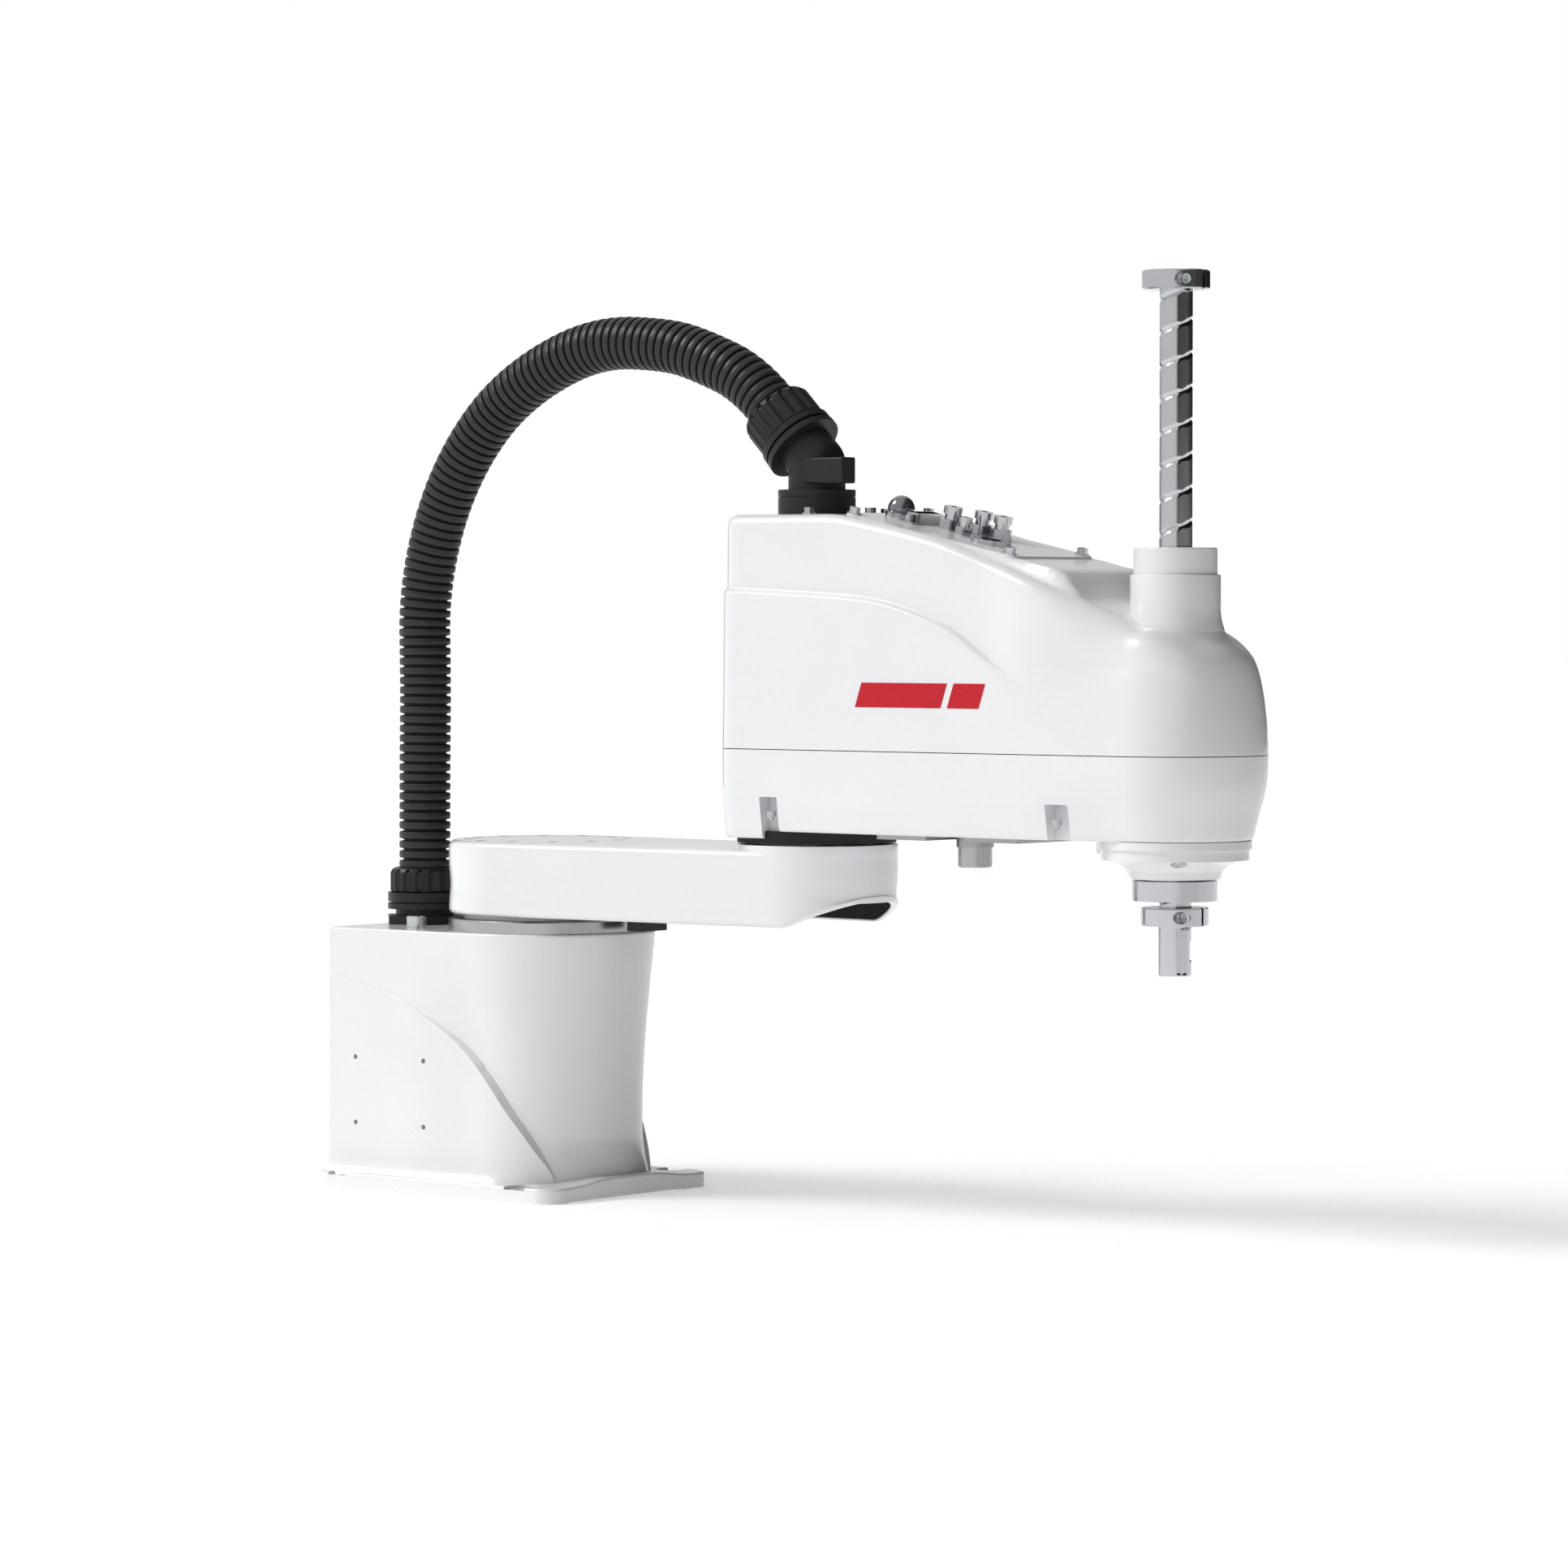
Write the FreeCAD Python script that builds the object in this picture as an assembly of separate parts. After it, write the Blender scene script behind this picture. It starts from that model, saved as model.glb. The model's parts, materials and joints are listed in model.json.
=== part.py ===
"""SCARA robot arm: bolted base, two arm links, and a ball screw spline spindle with a 500 mm reach.

Millimetres. The origin is the first joint's axis on the mounting plane, +X runs from the base to the
nose, and +Z is up. Every function returns the solids of one sub-part, and EXPORTS names the files.
"""
import FreeCAD
import Part

import math
import os

V = FreeCAD.Vector
UP = V(0, 0, 1)

# --- reach, stroke and axes -------------------------------------------------------------------
ARM_1 = 225.0                 # first joint to second joint
ARM_2 = 275.0                 # second joint to the spindle
J2_X = ARM_1
J3_X = ARM_1 + ARM_2
SHAFT_R = 10.0                # ball screw spline shaft
SHAFT_BORE_R = 5.5            # hole through the shaft for wires and air
SHAFT_LOW = 160.0
TOOL_END_TOP = 187.5          # a shallow ring groove ends the free length that a tool clamps on
FLAT_LOW = 169.0              # a flat for a tool's set screw, near the shaft's lower end
FLAT_HIGH = 180.5
FLAT_DEPTH = 1.0
FLAT_TURN = 36.0
SHAFT_HIGH = 580.0
SCREW_LEAD = 20.0
RUN_GAP = 0.3                 # radial air between faces that turn past each other
SHAFT_FIT = 0.05              # radial clearance of a nut on the shaft

# --- base -------------------------------------------------------------------------------------
BASE_REAR = -131.0
BASE_HALF = 69.5              # half the column's width at its top
BASE_TOP = 170.0
BASE_WALL = 6.0
WAIST_HALF = 61.0             # half width where the column is narrowest
WAIST_Z = 45.0
PANEL_HALF = 70.0             # the flat side panels stand out to here
PLATE_REAR = -137.0
PLATE_FRONT = 72.0
PLATE_HALF = 81.0
PLATE_T = 10.0
PLATE_CORNER = 14.0
FOOT_HOLE_R = 3.3
FOOT_HOLE_X = (-113.0, 42.0)
FOOT_HOLE_Y = 75.0
SIDE_HOLE_X = (-107.5, -47.5)
SIDE_HOLE_Z = (42.5, 85.5)
SIDE_HOLE_R = 1.65
J1_BORE_R = 50.0
RING_R = 65.5                 # bright ring under the first link
RING_BORE_R = 57.0
RING_TOP = 178.0
STOP_PIN_R = 6.35
STOP_PIN_AT = (-75.0, 46.0)
INLETS = ((14.0, -24.0), (11.0, 24.0))   # radius and y of the power and the signal inlet
INLET_Z = 118.0
AIR_PORT_Y = (-24.0, 0.0, 24.0)
AIR_PORT_Z = 44.0

# --- first link -------------------------------------------------------------------------------
LINK_LOW = 181.0
LINK_TOP = 229.0
LINK_HUB_R = 65.0             # end over the first joint
LINK_TIP_R = 51.0             # end under the second joint
LINK_WALL = 6.0
LINK_BOLT_PCD = 103.0
LINK_RISE_X = 236.0           # the underside starts to rise here
LINK_TIP_LOW = 197.0          # its height at the very tip
J2_BORE_R = 42.0

# --- second link ------------------------------------------------------------------------------
ARM_REAR = 186.0
ARM_HALF = 56.0
ARM_LOW = 241.0
ARM_SEAM = 292.0
COVER_TOP = 437.6
ARM_WALL = 4.5
ARM_CORNER = 15.0
REAR_COVER_X = 194.0          # the rear cover is everything behind this plane
REAR_COVER_LOW = 268.0
NOSE_R = 55.6
FLANGE_BOLT_R = 36.0
FLANGE_BOLT_TURN = -51.0
TUBE_R = 27.0
TUBE_TOP = 399.5
CAP_TOP = 415.5
PANEL_SLOPE = 12.0            # degrees that the connector panel falls towards the nose
PANEL_MID = V(345.0, 0.0, 424.5)
PANEL_LENGTH = 134.0
PANEL_WIDTH = 84.0
PANEL_T = 2.5
# places on the connector panel, from its middle: x towards the nose, y across, hole radius
AIR_PLACES = ((-15.0, 0.0, 4.0), (0.0, 12.0, 4.0), (15.0, 12.0, 4.0), (0.0, -6.0, 3.0))
SOCKET_PLACE = (27.0, -13.0, 8.0)
LAMP_PLACE = (-55.0, 0.0, 7.0)
DSUB_X = -36.0
PANEL_SCREWS = ((-62.0, -37.0), (-62.0, 37.0), (60.0, -37.0), (60.0, 37.0))
TOP_SCREWS = ((250.0, -38.0), (268.0, 0.0), (250.0, 38.0))
POCKET_X = ((224.0, 238.0), (444.0, 458.0))
POCKET_TOP = 263.0
STOP_PIN_X = 350.0

# --- conduit elbow on the second link ---------------------------------------------------------
ELBOW_TURN = 45.0
ELBOW_Z = 453.4
ELBOW_KNEE = 470.0            # height where the elbow's two axes meet
ELBOW_R = 17.9
ELBOW_BORE_R = 14.0

# --- cable conduit ----------------------------------------------------------------------------
CONDUIT_R = 17.0
GLAND_X = -110.0
GLAND_TOP = 207.6
# the route from the base gland over the arch and down to the arm's gland
ROUTE = [V(-110, 0, 207.6), V(-110, 0, 269), V(-109, 0, 330), V(-110.5, 0, 391), V(-91, 0, 453),
         V(-55, 0, 502), V(-11, 0, 532), V(45, 0, 551.3), V(103, 0, 547.7), V(131, 0, 540),
         V(171, 0, 524), V(190.6, 0, 504.4)]
DIVIDED_RUN = 5               # the lower and the upper length meet in the middle of this run

# --- drives -----------------------------------------------------------------------------------
NUT_R = 17.0                  # both nuts on the shaft
PULLEY_R = 24.0
MOTOR_PULLEY_R = 12.0
J3_MOTOR_AT = (330.0, -25.0)
J4_MOTOR_AT = (330.0, 25.0)
SPLINE_BELT_Z = 263.0
SCREW_BELT_Z = 301.0
BELT_WIDTH = 11.0
BELT_T = 1.6


# --- shape helpers ----------------------------------------------------------------------------
def tube(radius, low, high, x=0.0, y=0.0, bore=0.0):
    """A vertical cylinder between two heights, hollow where a bore is given."""
    solid = Part.makeCylinder(radius, high - low, V(x, y, low))
    if bore:
        solid = solid.cut(Part.makeCylinder(bore, high - low + 2, V(x, y, low - 1)))
    return solid


def block(x0, x1, y0, y1, z0, z1):
    return Part.makeBox(x1 - x0, y1 - y0, z1 - z0, V(x0, y0, z0))


def turned(profile, x=0.0, y=0.0):
    """A solid of revolution about a vertical axis, from (radius, height) corners."""
    points = [V(x + r, y, z) for r, z in profile]
    face = Part.Face(Part.makePolygon(points + points[:1]))
    return face.revolve(V(x, y, 0), UP, 360)


def prism_z(outline, low, high):
    """A plan outline of (x, y) corners, raised between two heights."""
    points = [V(x, y, low) for x, y in outline]
    return Part.Face(Part.makePolygon(points + points[:1])).extrude(V(0, 0, high - low))


def prism_y(outline, y0, y1):
    """A side outline of (x, z) corners, carried between two y values."""
    points = [V(x, y0, z) for x, z in outline]
    return Part.Face(Part.makePolygon(points + points[:1])).extrude(V(0, y1 - y0, 0))


def joined(*solids):
    whole = solids[0]
    for other in solids[1:]:
        whole = whole.fuse(other)
    return whole.removeSplitter()


def hexagon(across_flats, low, high, x=0.0, y=0.0, turn=0.0):
    radius = across_flats / math.sqrt(3)
    corners = []
    for i in range(6):
        angle = math.radians(60 * i + turn)
        corners.append((x + radius * math.cos(angle), y + radius * math.sin(angle)))
    return prism_z(corners, low, high)


def vertical_edges(solid, keep):
    """The straight upright edges whose middle passes the test."""
    found = []
    for edge in solid.Edges:
        box = edge.BoundBox
        if box.XLength < 0.01 and box.YLength < 0.01 and keep(edge.CenterOfMass):
            found.append(edge)
    return found


def level_edges(solid, z):
    """All edges that lie wholly at one height."""
    found = []
    for edge in solid.Edges:
        box = edge.BoundBox
        if abs(box.ZMin - z) < 0.01 and abs(box.ZMax - z) < 0.01:
            found.append(edge)
    return found


def on_circle(radius, count, x=0.0, y=0.0, first=0.0):
    """Places spaced evenly round a circle."""
    places = []
    for i in range(count):
        angle = math.radians(first + 360.0 * i / count)
        places.append((x + radius * math.cos(angle), y + radius * math.sin(angle)))
    return places


def capsule(x0, r0, x1, r1, low, high):
    """The plan shape of a belt round two circles on the X axis, raised between two heights."""
    lean = math.asin((r0 - r1) / (x1 - x0))
    ends = []
    for x, r in ((x0, r0), (x1, r1)):
        ends.append((x + r * math.sin(lean), r * math.cos(lean)))
    (ax, ay), (bx, by) = ends
    middle = prism_z([(ax, -ay), (bx, -by), (bx, by), (ax, ay)], low, high)
    return joined(tube(r0, low, high, x0), tube(r1, low, high, x1), middle)


def socket_screw(x, y, seat, head_r=3.5, head_h=4.0, shank_r=2.0, shank=8.0):
    """A cap screw standing on a seat height, with its hexagon socket."""
    head = tube(head_r, seat, seat + head_h, x, y)
    head = head.cut(hexagon(head_r, seat + head_h * 0.45, seat + head_h + 1, x, y))
    return head.fuse(tube(shank_r, seat - shank, seat, x, y)).removeSplitter()


def tilted(solid):
    """Moves a piece that was drawn on the plane z = 0 onto the sloping connector panel's top."""
    placed = solid.copy()
    placed.rotate(V(0, 0, 0), V(0, 1, 0), PANEL_SLOPE)
    placed.translate(PANEL_MID)
    return placed


def route_edges(points):
    """Straight runs joined by tangent arcs, as a list of edges, with the arc radii printed."""
    edges = []
    start = points[0]
    for before, corner, after in zip(points, points[1:], points[2:]):
        back = before - corner
        ahead = after - corner
        turn = math.pi - back.getAngle(ahead)
        reach = 0.45 * min(back.Length, ahead.Length)
        arc_radius = reach / math.tan(turn / 2)
        print("arc radius %.0f at %s" % (arc_radius, tuple(round(c, 1) for c in corner)))
        enter = corner + V(back).normalize() * reach
        leave = corner + V(ahead).normalize() * reach
        towards = (V(back).normalize() + V(ahead).normalize()).normalize()
        centre = corner + towards * math.hypot(arc_radius, reach)
        middle = centre - towards * arc_radius
        edges.append(Part.LineSegment(start, enter).toShape())
        edges.append(Part.Arc(enter, middle, leave).toShape())
        start = leave
    edges.append(Part.LineSegment(start, points[-1]).toShape())
    return edges


def pipe(edges, radius):
    """A round bar along joined edges."""
    path = Part.Wire(edges)
    first = edges[0].tangentAt(edges[0].FirstParameter)
    section = Part.Wire([Part.makeCircle(radius, edges[0].Vertexes[0].Point, first)])
    solid = path.makePipeShell([section], True, False)
    expected = math.pi * radius ** 2 * path.Length
    print("pipe length %.1f, volume %.4f of section x length" % (path.Length, solid.Volume / expected))
    return solid


# --- base -------------------------------------------------------------------------------------
def column(inset, low, high):
    """The D shaped column: flat sides running into a round front, waisted below its top."""
    top = BASE_HALF - inset
    waist = WAIST_HALF - inset
    hollow = (top - waist) * 0.42
    arc = Part.Arc(V(top, 0, high), V(waist + hollow * 0.45, 0, (high + WAIST_Z) / 2 + 8),
                   V(waist, 0, WAIST_Z)).toShape()
    rest = Part.makePolygon([V(waist, 0, WAIST_Z), V(waist, 0, low), V(0, 0, low), V(0, 0, high),
                             V(top, 0, high)])
    half = Part.Face(Part.Wire([arc] + rest.Edges))
    front = half.revolve(V(0, 0, 0), UP, 180)
    front.rotate(V(0, 0, 0), UP, -90)
    side = half.copy()
    side.rotate(V(0, 0, 0), UP, 90)
    body = side.extrude(V(BASE_REAR + inset, 0, 0))
    other = half.copy()
    other.rotate(V(0, 0, 0), UP, -90)
    return joined(front, body, other.extrude(V(BASE_REAR + inset, 0, 0)))


def side_panels():
    """The panels low on each side, round in front, cut off by one sweeping curve that falls forwards."""
    curve = Part.BSplineCurve()
    curve.interpolate([V(-129, 0, 138), V(-91, 0, 130), V(-60, 0, 120.5), V(-16, 0, 92), V(7, 0, 72),
                       V(28, 0, 43), V(46, 0, 16)])
    edges = [curve.toShape()]
    edges += Part.makePolygon([V(46, 0, 16), V(46, 0, 4), V(-129, 0, 4), V(-129, 0, 138)]).Edges
    outline = Part.Face(Part.Wire(edges))
    slab = outline.extrude(V(0, 2 * PANEL_HALF, 0))
    slab.translate(V(0, -PANEL_HALF, 0))
    sides = block(BASE_REAR, 0, -PANEL_HALF, PANEL_HALF, 0, BASE_TOP)
    return slab.common(sides.fuse(tube(PANEL_HALF, 0, BASE_TOP)))


def base_casting():
    plate = block(PLATE_REAR, PLATE_FRONT, -PLATE_HALF, PLATE_HALF, 0, PLATE_T)
    plate = plate.makeFillet(PLATE_CORNER, vertical_edges(plate, lambda c: True))
    body = joined(column(0, PLATE_T / 2, BASE_TOP), plate, side_panels())
    inside = column(BASE_WALL, PLATE_T, BASE_TOP - 12)
    inside = inside.fuse(block(BASE_REAR - 1, BASE_REAR + BASE_WALL + 1, -52, 52, 14, 150))
    body = body.cut(inside)
    body = body.cut(tube(J1_BORE_R, BASE_TOP - 20, BASE_TOP + 1))
    body = body.cut(tube(15.0, BASE_TOP - 20, BASE_TOP + 1, GLAND_X))
    for x in FOOT_HOLE_X:
        for side in (-1, 1):
            y = side * FOOT_HOLE_Y
            body = body.cut(tube(FOOT_HOLE_R, -1, PLATE_T + 1, x, y))
            body = body.cut(tube(5.3, PLATE_T - 2, PLATE_T + 1, x, y))
    for x in SIDE_HOLE_X:
        for z in SIDE_HOLE_Z:
            body = body.cut(Part.makeCylinder(SIDE_HOLE_R, 2 * PANEL_HALF + 2, V(x, -PANEL_HALF - 1, z),
                                              V(0, 1, 0)))
    pin_x, pin_y = STOP_PIN_AT
    for side in (-1, 1):
        body = body.cut(tube(4.0, BASE_TOP - 10, BASE_TOP + 1, pin_x, side * pin_y))
    return body.removeSplitter()


def base_rear_panel():
    panel = block(BASE_REAR - 2.0, BASE_REAR, -58, 58, 16, 156)
    panel = panel.makeFillet(4.0, [e for e in panel.Edges if e.BoundBox.XLength > 1.9])
    for radius, y in INLETS:
        panel = panel.cut(Part.makeCylinder(radius, 6, V(BASE_REAR - 4, y, INLET_Z), V(1, 0, 0)))
    panel = panel.cut(block(BASE_REAR - 4, BASE_REAR + 2, -20, 20, 74, 86))
    for y in AIR_PORT_Y:
        panel = panel.cut(Part.makeCylinder(5.0, 6, V(BASE_REAR - 4, y, AIR_PORT_Z), V(1, 0, 0)))
    return panel


def rear_panel_screws():
    screws = []
    for y in (-53.0, 53.0):
        for z in (21.0, 86.0, 151.0):
            head = Part.makeCylinder(3.0, 2.2, V(BASE_REAR - 4.2, y, z), V(1, 0, 0))
            slot = block(BASE_REAR - 4.4, BASE_REAR - 3.4, y - 2.2, y + 2.2, z - 0.4, z + 0.4)
            screws.append(head.cut(slot))
    return screws


def round_inlet(radius, y, z, pins):
    """A round panel socket: square flange, barrel and a recess with pins, facing the rear."""
    face = BASE_REAR - 2.0
    flange = block(face - 2.5, face, y - radius - 2.5, y + radius + 2.5, z - radius - 2.5, z + radius + 2.5)
    barrel = Part.makeCylinder(radius - 0.5, 16, V(face - 10, y, z), V(1, 0, 0))
    body = joined(flange, barrel)
    body = body.cut(Part.makeCylinder(radius - 2.5, 8, V(face - 11, y, z), V(1, 0, 0)))
    for py, pz in on_circle(radius * 0.5, pins, y, z):
        body = body.fuse(Part.makeCylinder(1.0, 6, V(face - 9, py, pz), V(1, 0, 0)))
    return body


def base_round_connectors():
    """The power and the signal inlet."""
    (power_r, power_y), (signal_r, signal_y) = INLETS
    return [round_inlet(power_r, power_y, INLET_Z, 6), round_inlet(signal_r, signal_y, INLET_Z, 8)]


def base_user_connector():
    """A 15 pin D shaped socket with its two jack screws."""
    face = BASE_REAR - 2.0
    shell = block(face - 7, face + 4, -12.5, 12.5, 75.5, 84.5)
    shell = shell.makeFillet(2.0, [e for e in shell.Edges if e.BoundBox.XLength > 10])
    flange = block(face - 1.0, face, -20, 20, 74, 86)
    body = joined(shell, flange)
    body = body.cut(block(face - 8, face - 2, -10.5, 10.5, 77.5, 82.5))
    for y in (-16.5, 16.5):
        body = body.fuse(Part.makeCylinder(2.4, 5, V(face - 6, y, 80), V(1, 0, 0)))
    return body


def base_air_fittings():
    fittings = []
    for y in AIR_PORT_Y:
        start = V(BASE_REAR - 18, y, AIR_PORT_Z)
        collar = Part.makeCylinder(5.2, 6, start, V(1, 0, 0))
        nut = Part.makeCylinder(6.6, 8, start + V(8, 0, 0), V(1, 0, 0))
        stem = Part.makeCylinder(4.4, 14, start + V(6, 0, 0), V(1, 0, 0))
        fitting = joined(collar, stem, nut)
        fittings.append(fitting.cut(Part.makeCylinder(2.1, 10, start - V(1, 0, 0), V(1, 0, 0))))
    return fittings


def j1_bearing_ring():
    ring = tube(RING_R, BASE_TOP, RING_TOP, bore=RING_BORE_R)
    return ring.makeChamfer(0.8, [e for e in level_edges(ring, RING_TOP) if e.BoundBox.XLength > 120])


def j1_circular_spline():
    """The fixed toothed ring of the strain wave reducer, seated in the casting's bore."""
    ring = tube(J1_BORE_R, 144.0, BASE_TOP, bore=36.0)
    return ring.fuse(tube(56.0, 144.0, BASE_TOP - 12, bore=36.0)).removeSplitter()


def j1_motor():
    body = block(-29, 29, -29, 29, 34, 118)
    body = body.makeChamfer(4.0, vertical_edges(body, lambda c: True))
    encoder = tube(22.0, 20.0, 34.0)
    flange = tube(54.0, 132.0, 144.0, bore=12.0)
    posts = [tube(5.0, 118.0, 132.0, x, y) for x, y in on_circle(30.0, 4, first=45.0)]
    return joined(body, encoder, flange, *posts).cut(tube(8.3, 110.0, 145.0))


def j1_wave_generator():
    """The reducer's input: motor shaft, hub and the bearing that turns inside the flexing cup."""
    return joined(tube(8.0, 112.0, 150.0), tube(14.0, 147.0, 162.0), tube(33.0, 150.0, 159.0))


def j1_stop_pins():
    pin_x, pin_y = STOP_PIN_AT
    pins = []
    for side in (-1, 1):
        pin = tube(STOP_PIN_R, BASE_TOP, BASE_TOP + 8.0, pin_x, side * pin_y)
        pin = pin.makeChamfer(0.6, level_edges(pin, BASE_TOP + 8.0))
        pins.append(pin.fuse(tube(4.0, BASE_TOP - 10, BASE_TOP, pin_x, side * pin_y)).removeSplitter())
    return pins


def grip_ring(radius, low, high, ribs, x=0.0):
    """A hand nut's ring with upright grooves round it."""
    ring = tube(radius, low, high, x, bore=CONDUIT_R + RUN_GAP)
    for gx, gy in on_circle(radius + 0.9, ribs, x):
        ring = ring.cut(tube(1.9, low + 3.0, high + 1, gx, gy))
    return ring


def base_gland_nut():
    """The hexagon at the foot of the conduit's gland, with its threaded stem through the casting."""
    return joined(hexagon(48.0, BASE_TOP, BASE_TOP + 5.7, GLAND_X, turn=15),
                  tube(15.0, BASE_TOP - 18, BASE_TOP + 12, GLAND_X),
                  tube(19.4, BASE_TOP + 4, BASE_TOP + 10, GLAND_X)).cut(
                      tube(12.0, BASE_TOP - 20, BASE_TOP + 14, GLAND_X))


def base_gland_body():
    low = BASE_TOP + 10
    body = joined(tube(24.6, low, low + 3.8, GLAND_X), tube(22.0, low, low + 5.5, GLAND_X),
                  tube(24.5, low + 5.0, low + 11.0, GLAND_X))
    return body.cut(tube(15.0, low - 1, low + 12, GLAND_X))


def base_gland_grip():
    low = BASE_TOP + 21
    ring = grip_ring(22.8, low, GLAND_TOP, 16, GLAND_X)
    return ring.makeChamfer(1.2, [e for e in level_edges(ring, low) if e.BoundBox.XLength > 45])


def conduit_halves():
    """The edges of the conduit's lower and upper length, which meet in the middle of a run."""
    edges = route_edges(ROUTE)
    cut = 2 * DIVIDED_RUN
    start, end = (v.Point for v in edges[cut].Vertexes)
    middle = (start + end) * 0.5
    lower = edges[:cut] + [Part.LineSegment(start, middle).toShape()]
    upper = [Part.LineSegment(middle, end).toShape()] + edges[cut + 1:]
    return lower, upper


def conduit_lower():
    return pipe(conduit_halves()[0], CONDUIT_R)


# --- first link -------------------------------------------------------------------------------
def link_plan(inset, low, high):
    return capsule(0.0, LINK_HUB_R - inset, J2_X, LINK_TIP_R - inset, low, high)


def link_casting():
    body = link_plan(0, LINK_LOW, LINK_TOP)
    body = body.makeFillet(5.0, level_edges(body, LINK_TOP))
    tip_x = J2_X + LINK_TIP_R + 1
    rise = prism_y([(LINK_RISE_X, LINK_LOW), (LINK_RISE_X, LINK_LOW - 1), (tip_x, LINK_LOW - 1),
                    (tip_x, LINK_TIP_LOW)], -80, 80)
    body = body.cut(rise)
    body = body.fuse(tube(LINK_TIP_R, LINK_TOP - 8, 232.0, J2_X)).removeSplitter()
    inside = link_plan(LINK_WALL, LINK_LOW - 1, LINK_TOP - 8)
    inside = inside.cut(tube(59.0, LINK_LOW - 2, LINK_TOP))
    inside = inside.cut(tube(LINK_TIP_R - 1, LINK_LOW - 2, LINK_TOP + 1, J2_X))
    inside = inside.cut(block(60, J2_X, -2.5, 2.5, LINK_LOW - 2, LINK_TOP))
    body = body.cut(inside)
    body = body.cut(tube(J2_BORE_R, 206.0, 233.0, J2_X))
    body = body.cut(tube(36.0, LINK_LOW - 2, 207.0, J2_X))
    for x, y in on_circle(LINK_BOLT_PCD / 2, 12, first=15.0):
        body = body.cut(tube(2.3, LINK_LOW - 1, LINK_TOP + 1, x, y))
        body = body.cut(tube(4.2, LINK_TOP - 6, LINK_TOP + 1, x, y))
    return body.removeSplitter()


def link_bolts():
    bolts = []
    for x, y in on_circle(LINK_BOLT_PCD / 2, 12, first=15.0):
        bolts.append(socket_screw(x, y, LINK_TOP - 6, 3.9, 4.5, 2.2, LINK_TOP - 6 - 173.0))
    return bolts


def j1_output_flange():
    """The turning inner ring of the first joint's bearing, bolted under the first link."""
    flange = tube(RING_BORE_R - RUN_GAP, BASE_TOP + 1.0, LINK_LOW, bore=10.0)
    for x, y in on_circle(LINK_BOLT_PCD / 2, 12, first=15.0):
        flange = flange.cut(tube(2.3, BASE_TOP, LINK_LOW + 1, x, y))
    return flange


def j1_flexing_cup():
    cup = tube(36.0 - RUN_GAP, 148.0, BASE_TOP + 1.0)
    return cup.cut(tube(33.6, 147.0, 164.0))


def j1_stop_block():
    body = block(78.0, 91.0, -13.0, 13.0, 172.0, LINK_LOW)
    return body.makeChamfer(1.0, vertical_edges(body, lambda c: True))


def j2_reducer_rings():
    """The second joint's toothed ring, and the dark seal in the hollow under it."""
    return [tube(J2_BORE_R, 206.0, 231.0, J2_X, bore=32.0), tube(36.0, 199.0, 206.0, J2_X, bore=18.0)]


# --- second link ------------------------------------------------------------------------------
def arm_plan(inset, low, high):
    """The second link's plan shape: square rear with rounded corners, half round nose."""
    half = ARM_HALF - inset
    box = block(ARM_REAR + inset, J3_X, -half, half, low, high)
    box = box.makeFillet(max(ARM_CORNER - inset, 3.0), vertical_edges(box, lambda c: c.x < ARM_REAR + 50))
    return joined(box, tube(NOSE_R - inset, low, high, J3_X))


def arm_casting():
    """The lower shell of the second link, which carries every drive."""
    body = arm_plan(0, ARM_LOW, ARM_SEAM - 0.5)
    body = body.makeChamfer(8.0, level_edges(body, ARM_LOW))
    body = body.cut(arm_plan(ARM_WALL, ARM_LOW + 7, ARM_SEAM))
    body = body.fuse(tube(40.0, ARM_LOW + 1, 256.0, J2_X))
    body = body.fuse(tube(36.0, ARM_LOW + 1, 252.0, J3_X))
    body = body.cut(tube(20.0, ARM_LOW - 1, 260.0, J2_X))
    body = body.cut(tube(NUT_R + RUN_GAP, ARM_LOW - 1, 260.0, J3_X))
    body = body.cut(block(ARM_REAR - 1, REAR_COVER_X, -60, 60, REAR_COVER_LOW - 0.5, ARM_SEAM + 1))
    for x0, x1 in POCKET_X:
        for side in (-1, 1):
            y_in, y_out = sorted((side * 48.0, side * 58.0))
            body = body.cut(block(x0, x1, y_in, y_out, ARM_LOW + 7, POCKET_TOP))
            wall_in, wall_out = sorted((side * 44.5, side * 48.0))
            body = body.fuse(block(x0 - 2, x1 + 2, wall_in, wall_out, ARM_LOW + 6, POCKET_TOP + 1))
    return body.removeSplitter()


def arm_profile(inset):
    """Side outline of the upper shell, as a prism right across the arm."""
    top = [(ARM_REAR + inset, ARM_SEAM - 30), (ARM_REAR + 6 + inset, COVER_TOP - inset),
           (268, COVER_TOP - inset), (313, 431 - inset), (355, 422 - inset), (398, 408 - inset),
           (440, 393 - inset), (481, 374 - inset), (520, 350 - inset), (550, 310 - inset),
           (550, ARM_SEAM - 30)]
    return prism_y(top, -ARM_HALF - 5, ARM_HALF + 5)


def nose(inset):
    profile = [(0, ARM_SEAM - 30), (NOSE_R - inset, ARM_SEAM - 30), (NOSE_R - inset, ARM_SEAM),
               (55.1 - inset, 306), (53.7 - inset, 321), (51.4 - inset, 335 - inset / 2),
               (47.7 - inset, 347 - inset / 2), (41.8 - inset, 354 - inset), (32.9 - inset, 361 - inset),
               (28.7 - inset, 367), (TUBE_R - inset, TUBE_TOP), (0, TUBE_TOP)]
    return turned(profile, J3_X)


def arm_upper_solid(inset):
    half = arm_plan(inset, ARM_SEAM - 30, 445).common(arm_profile(inset))
    return joined(half, nose(inset))


def panel_window(grow, thick):
    """A slab on the connector panel's plane, for the panel itself and for its opening."""
    slab = block(-PANEL_LENGTH / 2 - grow, PANEL_LENGTH / 2 + grow, -PANEL_WIDTH / 2 - grow,
                 PANEL_WIDTH / 2 + grow, -thick, thick)
    return tilted(slab)


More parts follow.
